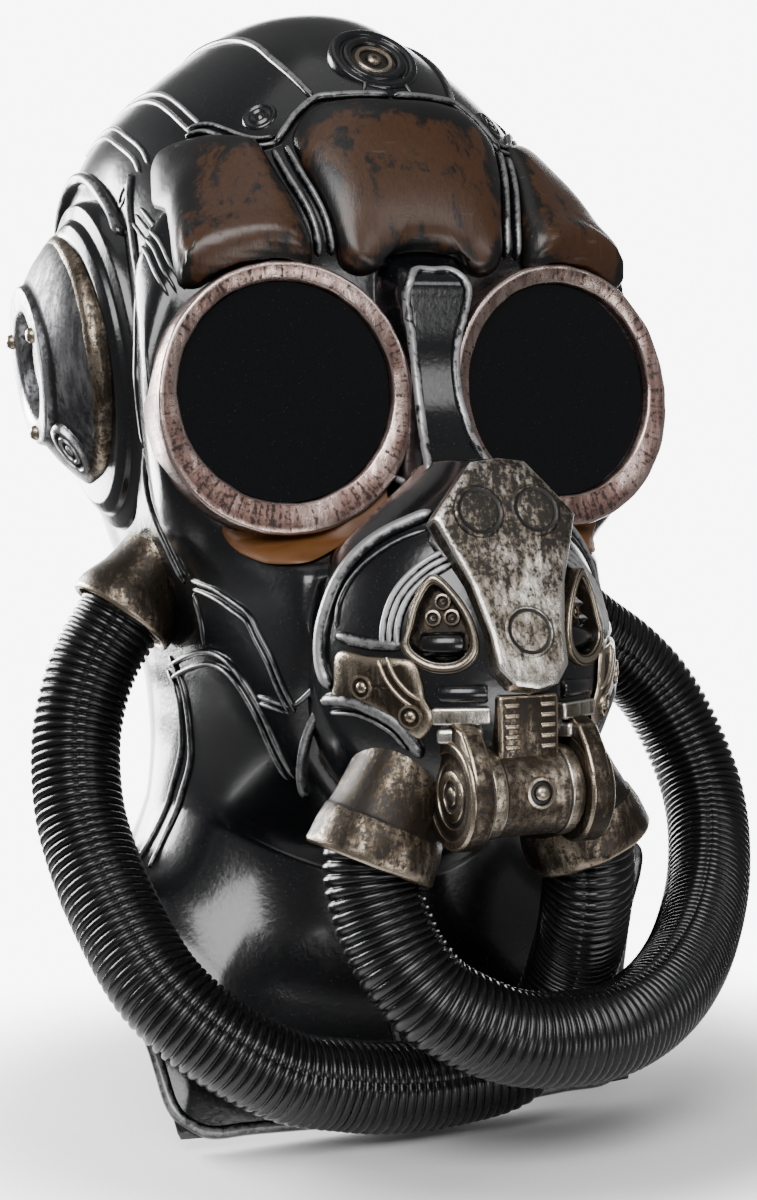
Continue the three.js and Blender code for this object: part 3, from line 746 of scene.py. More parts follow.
# %% Seams on the hood
SEAMS = [
    # name, half_width, height, spread, cords, route on the wearer's right
    ("crown panel", 1.5, 1.4, 0, 1, [
        (-36, 150, 134), (-35, 104, 135), (-33, 85, 134), (-32, 67, 129), (-32, 50, 121), (-30, 36, 113),
        (-27, 25, 104)]),
    ("side panel", 1.0, 1.1, 2.2, 2, [
        (-59, 150, 110), (-61, 114, 115), (-62, 90, 112), (-63, 71, 106), (-63, 58, 100), (-62, 49, 95)]),
    ("ear panel", 1.0, 1.0, 2.3, 2, [
        (-68, 150, 98), (-73, 119, 103), (-76, 88, 95), (-77, 72, 89), (-78, 63, 83)]),
    ("side pad head", 1.0, 2.0, 1.6, 2, [
        (-64, 53, 93), (-60, 45, 95), (-56, 37, 92), (-52, 29, 89), (-47, 24, 88), (-42, 22, 89)]),
    ("centre pad head", 1.7, 2.6, 0, 1, [
        (-44, 21, 87), (-39, 22, 93), (-35, 23, 98), (-27, 24, 104), (-20, 22, 105), (-11, 20, 105.5),
        (0, 18.5, 106)]),
    ("pad parting", 1.5, 3.6, 2.3, 2, [
        (-43, 20, 86), (-41, 11, 75), (-38.5, 4.5, 66), (-36.5, 0, 57), (-35.5, -1, 46)]),
    ("temple grooves", 0.8, 0.9, 3.0, 3, [
        (-84, 56, 66), (-87, 34, 55), (-88, 23, 49), (-85, 11, 34)]),
    ("ear recess edge", 1.6, 1.8, 0, 1, [
        (-80, 70, 82), (-84, 61, 68), (-88, 50, 55), (-93, 40, 40), (-96, 36, 22), (-97, 35, 8),
        (-96, 35, -6), (-94, 36, -18)]),
    ("ear arch", 2.6, 4.4, 0, 1, [
        (-76, 155, 62), (-80, 140, 77), (-83, 120, 85), (-85, 96, 80), (-86, 74, 69), (-88, 60, 58)]),
    ("cheek bar", 1.4, 1.6, 3.2, 2, [
        (-93, 38, -16), (-88, 47, -28), (-85, 48, -40), (-81, 44, -52), (-74, 39, -65)]),
    ("cheek seam", 0.9, 1.1, 1.7, 2, [
        (-74, 37, -66), (-71, 22, -68.5), (-68, 11, -72.5), (-65.5, 2, -76.5), (-64, -2, -83),
        (-61.5, -6, -90), (-59.5, -8, -97.5), (-56, -9, -105), (-55, -9, -109)]),
    ("jaw strut", 1.1, 1.2, 0, 1, [
        (-73, 37, -69), (-71, 35, -78), (-69, 36, -88)]),
    ("jaw seam", 1.1, 1.4, 2.2, 2, [
        (-69, 75, -100), (-69, 64, -97), (-68.5, 48, -93.5), (-68, 33, -92), (-66.5, 21.5, -94.5),
        (-64, 14.5, -99.5), (-61.5, 10.5, -105.5), (-59, 8, -112), (-57, 7, -118.5),
        (-53.5, 6.5, -126.5), (-49, 6, -134)]),
    ("jaw link", 0.9, 1.1, 1.3, 2, [
        (-61, 7, -105), (-59, 0, -106), (-57, -5, -107), (-55, -8, -108)]),
    ("jaw tie", 1.1, 1.3, 0, 1, [
        (-55, -10, -107), (-52, -19, -101), (-50, -24, -96)]),
    ("port collar", 2.0, 3.0, 0, 1, [
        (-44, 4, -140), (-47, 1, -133), (-50, -8, -121), (-50, -16, -111), (-48, -24, -104)]),
    ("neck seam", 1.2, 1.4, 3.6, 2, [
        (-69, 76, -96), (-68, 68, -103), (-67, 65, -114), (-66, 67.5, -128), (-66.5, 76, -143),
        (-73, 78.5, -160), (-82.5, 74, -170.5)]),
    ("crown stem", 0.8, 0.9, 0, 1, [
        (-9, 29, 114), (-8, 24, 110), (-10, 21, 106)]),
]
BIB_SEAM = [
    # x, y, z
    (-9, 26, -205), (-4.2, 25.3, -218.5), (-1.8, 22.9, -228), (-0.4, 20.8, -237.5), (0.6, 18.5, -250),
]
raised = sunk_cords(bmesh.new(), HOOD_TREE, SEAMS)
hem_route = [hem_point(math.radians(t)) + Vector((0, 0, 2)) for t in range(-176, 184, 8)]
seam(raised, HOOD_TREE, hem_route, 2.4, 2.4, closed=True)
for shift in (-3.4, 3.4):
    seam(raised, HOOD_TREE, BIB_SEAM, 1.7, 1.5, shift)
keep(outward(raised), "hood_seams", LATEX)
print(len(SEAMS), "kinds of seam")

# %% [markdown]
# The edging of the nose bridge was brushed with more silver than the rest. It runs up one edge of the
# ridge, over its top and down the other. Small rosettes and slots on the crown are turned rings.

# %% Bridge edging, rosettes and slots
EDGING_HALF = [
    # x, z
    (-13, -31), (-11.5, -27), (-9.5, -19), (-8, -8), (-7.8, 3), (-8.3, 14), (-9.8, 22), (-11.6, 30),
    (-11, 36), (-6.5, 41),
]
edge_points = [(x, bridge_at(z)[0], z) for x, z in EDGING_HALF]
edging = edge_points + [(0, -14, 43)] + [(-x, y, z) for x, y, z in reversed(edge_points)]
SILVERED = make_latex("silver-brushed latex", 0.42, 0.42)
trim = bmesh.new()
seam(trim, HOOD_TREE, edging, 1.7, 1.9)
for side in both_sides([(-13, -4, -29), (-10, -16, -32), (-6, -28, -35)]):
    seam(trim, HOOD_TREE, side, 1.5, 1.2)
keep(outward(trim), "bridge_edging", SILVERED)

ROSETTE = [
    # radius, along
    (0, 0.9), (1, 0.9), (1.5, 0.2), (2.1, 0.2), (2.6, 0.8), (3.2, 0.8), (3.7, 0.1), (4.4, 0.1), (5, 0.7),
    (5.8, 0.6), (6.6, -0.4), (6.6, -2), (0, -2),
]
SLOT = [
    # radius, along
    (0, -0.4), (0.9, -0.4), (1.3, 0.3), (1.9, 0.5), (2.3, 0.5), (2.8, 0.1), (3.2, -0.4), (3.2, -2),
    (0, -2),
]


def make_crown_marks():
    bm = bmesh.new()
    for point, profile, tall in (((45, 32, 98), ROSETTE, 1.0), ((84, 69, 74), SLOT, 2.0)):
        ring = scaled(turned(profile, 48), (1, tall, 1))
        spot, normal = on_surface(HOOD_TREE, point)
        add_to(bm, moved(ring, facing(spot, normal)))
    return mark_wear(bm, 0.25)


keep_pair(make_crown_marks, "crown_marks", LATEX, sharp=60)

# %% [markdown]
# ## Brow pads and the crescents under the eyes
# Three brown pads lie over the eyes, thick and crowned, with rolled edges above the goggles. Each is
# drawn as an outline seen from the front. A closed pillow is laid on the hood inside that outline, and
# pushed clear of the goggle rims. They are cast, not stuffed, so nothing is simulated.

# %% Pad paint
def make_pad_finish():
    f = Finish("brown brushed pad", Coat_Roughness=0.22, Specular_IOR_Level=0.4)
    cloud = f.speckle(36, 6, 0.66, warp=0.8)
    stroke = f.speckle(130, 6, 0.72, stretch=(1, 1, 0.3))
    hair = f.speckle(900, 3, 0.6, stretch=(1, 1, 0.12))
    nick = f.span(f.speckle(330, 3, 0.6, stretch=(0.2, 1, 1)), 0.66, 0.72)
    # darker patches from noise, and darker towards each pad's outline
    dark_patches = f.span(cloud + (stroke - 0.5) * 0.9 + f.wear() * 0.2, 0.5, 0.64)
    brown = f.blend(hair, (0.026, 0.0108, 0.0045), (0.058, 0.0245, 0.0095))
    tone = f.blend(dark_patches, brown, (0.0042, 0.0036, 0.0034))
    return f.dress(
        Base_Color=f.blend(nick * 0.3, tone, (0.1, 0.075, 0.055)),
        Roughness=0.3 + stroke * 0.16,
        Coat_Weight=0.1,
        Normal=f.bump(stroke + hair * 0.5 + nick * 0.6, 0.22, 0.0008))


PAD = make_pad_finish()
print(PAD.name)

# %% Pad outlines
GAP = 0.3
PAD_HALF = [
    # x, z
    (0, 103), (14, 103), (26, 101), (32, 97.5), (37, 91), (38.3, 86), (36.8, 76), (34.2, 66), (32.2, 57),
    (31, 47), (29, 42.5), (24, 40), (19, 41), (14, 45), (7, 48), (0, 48.6),
]
PAD_CENTRE = PAD_HALF + [(-x, z) for x, z in reversed(PAD_HALF[1:-1])]
PAD_SIDE = [
    # x, z
    (48, 87), (50.5, 89.5), (60, 91.5), (70.5, 89), (75.5, 83), (79, 72), (82.5, 56), (85, 42),
    (82.5, 36), (68, 37.5), (54, 41), (44, 42), (40.8, 44), (40.6, 48), (41.6, 57), (43.6, 66), (46, 76),
]
print("pad outlines of", len(PAD_CENTRE), "and", len(PAD_SIDE), "points")

# %% Pillows
COLUMNS = 120
ROLL_AT, ROLL_WIDTH = 8, 6            # how far the rolled edge lies from a goggle's rim, and its width


def clear_of_rims(x, z, radius):
    side = -1 if x < 0 else 1
    away = Vector((x - side * EYE_X, z))
    if 0 < away.length < radius:
        away *= radius / away.length
    return side * EYE_X + away.x, away.y


def front_of(tree, x, z):
    place, normal, _, _ = tree.ray_cast(Vector((x, -200, z)), Vector((0, 1, 0)))
    if place is None:
        place, normal = on_surface(tree, (x, 60, z))
    return place, normal


def pillow(tree, outline, heart, height, edge, power, rim_gap, rows=44, roll=0.0):
    """A crowned closed pad on a surface, inside an outline seen from the front."""
    top = int(rows * 0.8)

    def crown(t):
        return max(1 - t ** power, 0) ** 0.55

    def place(u, v):
        row = round(v * rows)
        x, z = curve_at(outline, u * len(outline), closed=True)
        if row <= top:
            t = math.sin(0.5 * math.pi * row / top)
            out = GAP + edge + height * crown(t)
        else:
            t = (rows - row) / (rows - top)
            out = GAP
        x, z = heart[0] + t * (x - heart[0]), heart[1] + t * (z - heart[1])
        x, z = clear_of_rims(x, z, rim_gap)
        spot, normal = front_of(tree, x, z)
        if row <= top:
            off = math.hypot(abs(x) - EYE_X, z) - RIM_RADIUS
            out += roll * math.exp(-((off - ROLL_AT) / ROLL_WIDTH) ** 2) * crown(t)
        return spot + normal * out

    bm = sheet(COLUMNS, rows, place)
    bmesh.ops.smooth_vert(bm, verts=bm.verts[:], factor=0.5,
                          use_axis_x=True, use_axis_y=True, use_axis_z=True)
    return mark_wear(outward(bm), 3)


print("pillows have", COLUMNS, "columns")

# %% Brow pads
def mark_border(bm, outline, reach):
    """Store 1 along a pad's outline and 0 a little way in, where the pad's colour is made darker."""
    layer = wear_layer(bm)
    border = [curve_at(outline, k / 5, closed=True) for k in range(5 * len(outline))]
    for vert in bm.verts:
        away = min(math.hypot(abs(vert.co.x) - abs(x), vert.co.z - z) for x, z in border)
        vert[layer] = 1 - ease(away / reach)
    return bm


def make_brow_pad(outline, heart):
    bm = pillow(HOOD_TREE, outline, heart, 6.4, 0.4, 5, RIM_RADIUS + 0.7, roll=4.2)
    return mark_border(bm, outline, 9)


centre_pad = keep(make_brow_pad(PAD_CENTRE, (0, 68)), "pad_centre", PAD, ["brow_pad_centre"])
for pad in keep_pair(lambda: make_brow_pad(PAD_SIDE, (63, 62)), "pad", PAD, "brow_pad"):
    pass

# %% Crescents
CRESCENT = [
    # x, z
    (73, -45), (70, -52), (64, -57.5), (57, -58.5), (50, -57.5), (41, -54.5), (31, -49.8), (23.5, -45),
    (17.8, -41), (18, -33), (30, -36), (41, -41), (52, -43), (62, -42), (69, -40.5),
]


def make_crescent_finish():
    f = Finish("orange-brown paint", Coat_Roughness=0.3)
    stroke = f.speckle(160, 5, 0.65, stretch=(0.3, 1, 1))
    return f.dress(
        Base_Color=f.blend(stroke, (0.07, 0.024, 0.005), (0.16, 0.062, 0.013)),
        Roughness=0.4 + stroke * 0.2,
        Normal=f.bump(stroke, 0.15, 0.0005))


def make_crescent():
    """The pad, its tail lifted level with the rim beside it."""
    bm = pillow(HOOD_TREE, CRESCENT, (58, -53), 1.3, 0.3, 5, RIM_RADIUS + 5.2, 24)
    for vert in bm.verts:
        along, reach = off_lens(vert.co, 1)
        lift = ease((54 - vert.co.x) / 24) * ease((57 - reach) / 4)
        vert.co += LENS_AXIS * (lift * 0.85 * max(7 - along, 0))
    return bm


for pad in keep_pair(make_crescent, "crescent", make_crescent_finish(), "under_eye_pad"):
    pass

# %% [markdown]
# ## Metal paints
# The rims, the plate and the fittings are latex too, blackened and then brushed with metal paint. It
# is bright on the ridges, missing from the grooves, and speckled where the brush was almost dry.

# %% Metal paints
PAINTED_LIGHT_HEIGHTS = (-0.24, -0.172)           # heights over which the painted light low down fades out, in the frame's metres


def make_metal(name, ink, base, bright, cover_from, rough, grain=0.4, across=0.0, lit_below=0.0):
    """Metal paint brushed over black: bright on ridges, black in grooves, and, with a last weight above
    nought, painted lighter low down as painted light.
    """
    f = Finish(name)
    fine = f.speckle(620, 6, 0.72)
    zone = f.speckle(48, 3, 0.5)
    streak = f.speckle(420, 4, 0.65, stretch=(1, 1, 0.14))
    turn = f.node("ShaderNodeAttribute", {"attribute_name": "turn"}, out="Fac")
    stroke = f.node("ShaderNodeTexNoise", {"noise_dimensions": "1D"},
                    {"W": turn, "Scale": 26, "Detail": 4.0})
    height = f.node("ShaderNodeSeparateXYZ", {}, {0: f.place}, out="Z")
    # painted light: near 1 low down in the frame and near 0 higher up, so lower parts get more bright paint
    low = 1 - f.span(height, *PAINTED_LIGHT_HEIGHTS)
    worn = f.wear()
    paint = fine * (1 - grain) + streak * grain + (zone - 0.5) * 0.2 + worn * 0.25
    paint = paint + (stroke - 0.5) * across
    paint = paint + (low - 0.5) * lit_below
    cover = f.span(paint, cover_from, cover_from + 0.13)
    # brighter paint: real on ridges and in streaks, and painted light low down
    bright_paint_and_light = f.span(streak * 0.5 + zone * 0.5 + worn * 0.5 + (low - 0.5) * lit_below, 0.48, 0.75)
    groove = f.span(worn * -1.0, 0.12, 0.5)
    tone = f.blend(cover, ink, f.blend(bright_paint_and_light, base, bright))
    return f.dress(
        Base_Color=f.blend(groove, tone, (0.006, 0.0055, 0.005)),
        Metallic=(0.5 + cover * 0.45) * (1 - groove * 0.8),
        Roughness=rough + (1 - cover) * 0.12 - bright_paint_and_light * 0.06,
        Normal=f.bump(fine + streak * 0.6, 0.3, 0.0005))


COPPER = make_metal("rubbed copper paint", (0.028, 0.018, 0.016),
                    (0.2, 0.12, 0.1), (0.58, 0.45, 0.41), 0.41, 0.3, 0.2, 0.45)
# the plate's silver is painted brighter towards its foot: painted light
STEEL = make_metal("aged silver paint", (0.017, 0.014, 0.011),
                   (0.19, 0.156, 0.118), (0.74, 0.7, 0.64), 0.445, 0.29, lit_below=0.11)
BRONZE = make_metal("antique bronze paint", (0.013, 0.0095, 0.0065),
                    (0.052, 0.038, 0.024), (0.38, 0.315, 0.24), 0.45, 0.3, 0.12)
IRON = make_metal("dark steel paint", (0.014, 0.014, 0.016),
                  (0.09, 0.09, 0.095), (0.42, 0.42, 0.43), 0.42, 0.32)
# a lighter copy of the antique bronze paint, for the hinge tube only: painted light standing in for light
# from below and in front
LIT_BRONZE = make_metal("bronze paint lightened as lit", (0.02, 0.015, 0.011),
                    (0.12, 0.092, 0.065), (0.5, 0.43, 0.35), 0.43, 0.3, 0.25)
print("metal paints:", COPPER.name, LIT_BRONZE.name, STEEL.name, BRONZE.name, IRON.name)

# %% [markdown]
# ## Goggles
# Each rim is a turned ring painted copper and rubbed back, flared below, with small dents from casting.
# The glass is a smoked disc with a slight dome, nearly flush with it.

# %% Rims and glasses
RIM_SECTION = [
    # radius, along
    (38.0, -13), (38.0, 5.4), (38.3, 6.2), (39, 6.7), (42.8, 7.7), (43.8, 7.3), (44.2, 6.2), (44.2, -13),
]
FLARE_ALL, FLARE_BELOW = 0.4, 4.4


def dented(bm, amount, size):
    bm.normal_update()
    for vert in bm.verts:
        vert.co += vert.normal * amount * noise.noise(vert.co / size)
    return bm


def make_rim():
    bm = dented(soften(turned(RIM_SECTION, 144, closed=True), 0.4, 2, 30), 0.35, 6)
    turn = bm.verts.layers.float.new("turn")
    for vert in bm.verts:
        vert[turn] = math.atan2(vert.co.y, vert.co.x)
        reach = math.hypot(vert.co.x, vert.co.y)
        low = ease((0.3 - vert.co.y / reach) / 1.3)
        flare = (FLARE_ALL + FLARE_BELOW * low) * ease((reach - 39) / 5)
        vert.co.x *= 1 + flare / reach
        vert.co.y *= 1 + flare / reach
    return moved(mark_wear(bm, 1.2), facing((EYE_X, 0, 0), LENS_AXIS))


def make_glass():
    dome = [(0, 0.6), (37.2, 0.6), (37.7, 1.4), (37.6, 3.7), (28, 3.88), (18, 4.0), (8, 4.07), (0, 4.1)]
    return moved(turned(dome, 96), facing((EYE_X, 0, 0), LENS_AXIS))


def make_smoke():
    f = Finish("smoked glass", Specular_IOR_Level=0.4)
    dust = f.span(f.speckle(1700, 2), 0.66, 0.76)
    return f.dress(
        Base_Color=f.blend(dust * 0.3, (0.0022, 0.0024, 0.003), (0.06, 0.06, 0.065)),
        Roughness=0.06 + dust * 0.2)


keep_pair(make_rim, "rim", COPPER, "goggle_rim")
keep_pair(make_glass, "glass", make_smoke(), "lens", sharp=20)

# %% [markdown]
# ## Muzzle
# The respirator is a black dome with raised arches. Its sections run from the nose to the chin; the
# walls flare out to the cheeks behind, and the drop-shaped vents are pressed in. Arches and collars are
# raised seams on it.

# %% Muzzle sections
MUZZLE = [
    # z, half_width, front_y
    (-24, 10, -48), (-31, 17, -56), (-40, 28, -61), (-52, 41.5, -66), (-66, 49, -71), (-84, 53, -76),
    (-104, 52, -77), (-124, 45, -72), (-142, 32, -60), (-152, 20, -48),
]
VENT = [
    # across, up
    (2.5, 16), (8, 9), (11, -1), (12.5, -8), (8.5, -13), (1, -16), (-7.5, -15), (-12.5, -9), (-10.5, 1),
    (-4.5, 10.5),
]
VENT_AXIS = Vector((0.56, -0.82, 0.1)).normalized()
VENT_FRAME = facing((26, -67, -77), VENT_AXIS)
VENT_DEPTH = 7
MUZZLE_CAP = 0.05                     # share of the grid's rows that closes each end
WALL_FROM, WALL_TO = 0.16, 0.84       # the walls to the cheeks lie outside these shares
WALL_Y = -24
FAR_OUT = 9.0
print(len(MUZZLE), "sections from nose to chin")

# %% Muzzle dome
def vent_share(point):
    """How far out a point lies in the vent's outline: 0 at its middle, 1 on its edge."""
    local = VENT_FRAME.inverted() @ Vector((abs(point.x), point.y, point.z))
    turn = math.atan2(local.y, local.x)
    best = 1.0
    for (u0, v0), (u1, v1) in zip(VENT, VENT[1:] + VENT[:1]):
        a0, a1 = math.atan2(v0, u0), math.atan2(v1, u1)
        swing = (turn - a0 + math.pi) % (2 * math.pi) - math.pi
        whole = (a1 - a0 + math.pi) % (2 * math.pi) - math.pi
        if whole < 0 and whole <= swing <= 0:
            share = swing / whole
            best = math.hypot(u0 + share * (u1 - u0), v0 + share * (v1 - v0))
    return math.hypot(local.x, local.y) / best if abs(local.z) < 16 else FAR_OUT


def muzzle_point(u, v):
    position = min(max((v - MUZZLE_CAP) / 0.9, 0), 1) * (len(MUZZLE) - 1)
    z, half, front = curve_at(MUZZLE, position)
    if WALL_FROM < u < WALL_TO:
        turn = (u - 0.5) / 0.34 * math.pi / 2
        point = Vector((half * math.copysign(abs(math.sin(turn)) ** 1.05, turn),
                        WALL_Y - (WALL_Y - front) * math.cos(turn) ** 1.05, z))
    else:
        share = (WALL_FROM - u) / WALL_FROM if u < 0.5 else (u - WALL_TO) / WALL_FROM
        half *= 1 - 0.55 * share * ease((z + 62) / 20)
        point = Vector((math.copysign(half, u - 0.5), WALL_Y + 30 * share, z))
    dip = vent_share(point) if point.y < -30 else FAR_OUT
    side = math.copysign(1, point.x)
    inward = Vector((side * VENT_AXIS.x, VENT_AXIS.y, VENT_AXIS.z)) * VENT_DEPTH
    point -= inward * ease((0.82 - dip) / 0.1)
    end = max(MUZZLE_CAP - v, v - (1 - MUZZLE_CAP), 0) / MUZZLE_CAP
    return point.lerp(Vector((0, 0, z)), end)


CHIN_TOP = -96                        # no silver was brushed on below this
dome = sheet(150, 110, muzzle_point)
bmesh.ops.holes_fill(dome, edges=dome.edges[:], sides=0)
MUZZLE_TREE = BVHTree.FromBMesh(outward(dome))
mark_wear(dome, 1.0)
crest = wear_layer(dome)
for vert in dome.verts:
    vert[crest] *= 1 - ease((CHIN_TOP - vert.co.z) / 6)
keep(dome, "muzzle_dome", LATEX, ["muzzle_body"], sharp=60)

# %% Arches and collars on the muzzle
MUZZLE_SEAMS = [
    # name, half_width, height, spread, cords, route on the wearer's right
    ("outer arch", 2.7, 3.2, 0, 1, [
        (-21, -53, -40), (-28, -48, -43), (-35, -43, -47), (-41, -38, -54), (-47, -34, -63),
        (-50, -32, -73), (-52, -31, -82), (-52, -32, -92), (-51, -36, -99)]),
    ("inner arch", 1.3, 2.2, 2.5, 3, [
        (-20, -64, -55), (-28, -61, -59.5), (-35, -58, -67), (-38.5, -57, -76), (-39, -57, -85)]),
]
MUZZLE_FILLETS = [
    ("arch line", 0.8, 1.0, 0, 1, [
        (-24, -55, -46), (-31, -50, -49), (-38, -45, -54), (-44, -40, -61), (-48, -37, -70),
        (-50, -38, -79)]),
    ("plate edge", 2.2, 1.5, 0, 1, [
        (-24, -56, -46), (-22, -60, -53), (-19, -64, -58)]),
    ("strap", 2.2, 1.7, 0, 1, [
        (-51, -38, -81), (-44, -51, -83.5), (-36, -61, -84)]),
    ("port collar", 2.6, 3.4, 0, 1, [
        (-51, -30, -103), (-50, -38, -102.5), (-47, -47, -103), (-39, -57, -108), (-33, -60, -115),
        (-30, -60, -121)]),
    ("port collar inside", 1.0, 1.4, 0, 1, [
        (-50, -32, -107), (-46, -46, -107), (-39, -55, -112), (-34, -58, -119)]),
]
keep(outward(sunk_cords(bmesh.new(), MUZZLE_TREE, MUZZLE_SEAMS)), "muzzle_arches", SILVERED)
keep(outward(sunk_cords(bmesh.new(), MUZZLE_TREE, MUZZLE_FILLETS)), "muzzle_fillets", LATEX)

# %% [markdown]
# ## Nose plate
# A shield of speckled silver, leaning forward towards its foot, with three coin-like discs set in it.
# Its straight-sided outline is drawn on the leaning plane and its edge is rounded over.

# %% Outline of the nose plate
PLATE = [
    # x, z of one half
    (0, -23.6), (10, -24.8), (25.8, -42), (17, -64), (13.4, -80), (12.6, -90.5), (7.5, -96.6),
]
PLATE_WHOLE = PLATE + [(0, -98)] + [(-x, z) for x, z in reversed(PLATE[1:])]
COINS = [(10.3, -41.1), (-10.3, -41.1), (0, -80.1)]
PLATE_TOP = Vector((0, -59.6, -23.6))
PLATE_DOWN = Vector((0, -24.1, -67.4)).normalized()
PLATE_OUT = Vector((0, PLATE_DOWN.z, -PLATE_DOWN.y))
PLATE_THICK = 8
PLATE_HEART = -62                     # height of the middle that the face's rows close in on
FACE_ROWS, EDGE_ROWS, PLATE_ROWS = 28, 34, 40
ARCHING = 0.0022                      # how fast the plate falls away to the sides


def plate_spot(x, z, depth):
    down = (PLATE_TOP.z - z) / -PLATE_DOWN.z
    return PLATE_TOP + Vector((x, 0, 0)) + PLATE_DOWN * down - PLATE_OUT * (depth + ARCHING * x * x)


def round_outline(points, share):
    """The place at a share of the way round a straight-sided outline."""
    sides = list(zip(points, points[1:] + points[:1]))
    left = share * sum(math.dist(p, q) for p, q in sides)
    for p, q in sides:
        if left <= math.dist(p, q) + 1e-6:
            break
        left -= math.dist(p, q)
    return Vector(p).lerp(Vector(q), min(left / math.dist(p, q), 1))


def plate_point(u, v):
    x, z = round_outline(PLATE_WHOLE, u)
    row = round(v * PLATE_ROWS)
    t, depth = (PLATE_ROWS - row) / (PLATE_ROWS - EDGE_ROWS), PLATE_THICK
    if row <= FACE_ROWS:
        t = math.sin(0.5 * math.pi * row / FACE_ROWS)
        depth = t ** 24
    elif row <= EDGE_ROWS:
        t, depth = 1.0, 1.0 + (PLATE_THICK - 1.0) * (row - FACE_ROWS) / (EDGE_ROWS - FACE_ROWS)
    return plate_spot(t * x, PLATE_HEART + t * (z - PLATE_HEART), depth)


print("plate of", len(PLATE_WHOLE), "corners")

# %% Plate and its discs
COIN = [
    # radius, along
    (0, 0.4), (6.2, 0.4), (6.6, 0.34), (6.8, 0.05), (7.6, 0.05), (7.8, 0.26), (8.2, 0.3), (8.8, 0),
    (9.2, -0.4), (9.2, -2),
]


def make_coin(centre):
    """A flush disc inside an engraved ring, which is marked as a groove for the black paint."""
    bm = turned(COIN + [(0, -2)], 64)
    groove = wear_layer(bm)
    for vert in bm.verts:
        vert[groove] = -1 if 6.7 < math.hypot(vert.co.x, vert.co.y) < 7.7 else 0
    return moved(bm, facing(centre, PLATE_OUT))


plate = mark_wear(outward(sheet(160, PLATE_ROWS, plate_point)), 1.4)
for x, z in COINS:
    add_to(plate, make_coin(plate_spot(x, z, -0.1 - ARCHING * x * x)))
keep(plate, "nose_shield", STEEL, ["nose_plate"], sharp=50)

# %% [markdown]
# ## Vents, brackets and hinge
# Beside the plate sit two drop-shaped vents with rings and a roller in the recess. Below them a bolted
# bracket bends round each side. A moulded hinge closes the chin, under bars, rollers and a ribbed column.

# %% Vents
VENT_RING = [
    # share, along
    (1.0, -8), (1.01, 0.2), (0.97, 1.3), (0.9, 1.7), (0.83, 1.2), (0.79, 0.2), (0.78, -8),
]


def make_vent():
    def place(u, v):
        over, up = curve_at(VENT, u * len(VENT), closed=True)
        share, along = curve_at(VENT_RING, v * len(VENT_RING), closed=True)
        return VENT_FRAME @ Vector((over * share, up * share, along))

    return mark_wear(outward(sheet(96, 28, place)), 1.2)


RINGLET = [
    # radius, along
    (0, -1.0), (0.9, -0.2), (1.2, -1.2), (1.6, -1.2), (2.0, 0.4), (2.6, 0.3), (2.9, -1.2), (2.9, -2.5),
]


def make_vent_floor():
    """A bronze plate in the recess, with three rings on it."""
    def place(u, v):
        over, up = curve_at(VENT, u * len(VENT), closed=True)
        return VENT_FRAME @ Vector((over * v * 0.85, up * v * 0.85, -4.6 - 1.5 * v ** 6))

    bm = outward(sheet(72, 14, place))
    for over, up in ((-0.4, 7.2), (2.8, 1.9), (-3.4, 2.1)):
        ringlet = turned(RINGLET + [(0, -2.5)], 24)
        add_to(bm, moved(ringlet, VENT_FRAME @ Matrix.Translation((over, up, -3.4))))
    return mark_wear(bm, 1.0)


def roller(half, radius, inset, steps):
    """A roller along X, its ends rounded off."""
    end = [(radius, half - 1), (radius - inset, half), (0, half)]
    profile = [(r, -along) for r, along in reversed(end)] + end
    return moved(turned(profile, steps), Matrix.Rotation(math.pi / 2, 4, "Y"))


def make_vent_roller():
    spot = VENT_FRAME @ Matrix.Translation((-0.4, -6.6, -4.0))
    return mark_wear(moved(roller(7.2, 4.2, 0.8, 40), spot), 1.0)


keep_pair(make_vent, "vent", BRONZE, "vent_rim")
keep_pair(make_vent_floor, "vent_floor", BRONZE, sharp=50)
keep_pair(make_vent_roller, "vent_roller", LATEX, sharp=50)

# %% Brackets
BRACKET = [
    # x, z
    (50, -86.5), (44, -87.5), (37, -88), (33.5, -89.5), (31.8, -96), (31, -101), (28.8, -106), (28.8, -110),
    (31.5, -114.5), (35, -112), (40, -107), (46, -103), (50.3, -103), (50.8, -96),
]
BOLT = [
    # radius, along
    (0, 1.6), (1.6, 1.4), (2.3, 0.5), (2.5, -0.4), (3.3, -0.4), (3.6, 1.0), (4.3, 1.1), (4.7, 0.2),
    (4.7, -2.5),
]
BRACKET_RIB = [(40.5, -56, -88), (39.5, -58.5, -94), (36, -61.5, -99.5), (32.5, -65, -103)]


def make_bolt(tree, point, lift, scale=1.0):
    spot, normal = on_surface(tree, point)
    bm = turned([(r * scale, a * scale) for r, a in BOLT] + [(0, -2.5 * scale)], 32)
    return moved(mark_wear(bm, 0.8), facing(spot + normal * lift, normal))


def make_bracket():
    bm = pillow(MUZZLE_TREE, BRACKET, (42, -97), 1.7, 0.3, 12, 1, 26)
    add_to(bm, make_bolt(MUZZLE_TREE, (45, -50, -97.5), 2.2, 0.9))
    add_to(bm, make_bolt(MUZZLE_TREE, (34, -62, -106.5), 2.2, 0.9))
    ribs = bmesh.new()
    for shift in (-1.6, 1.6):
        seam(ribs, MUZZLE_TREE, BRACKET_RIB, 0.9, 1.2, shift, 2.0)
    return add_to(bm, ribs)


keep_pair(make_bracket, "bracket", BRONZE, "jaw_bracket", sharp=60)

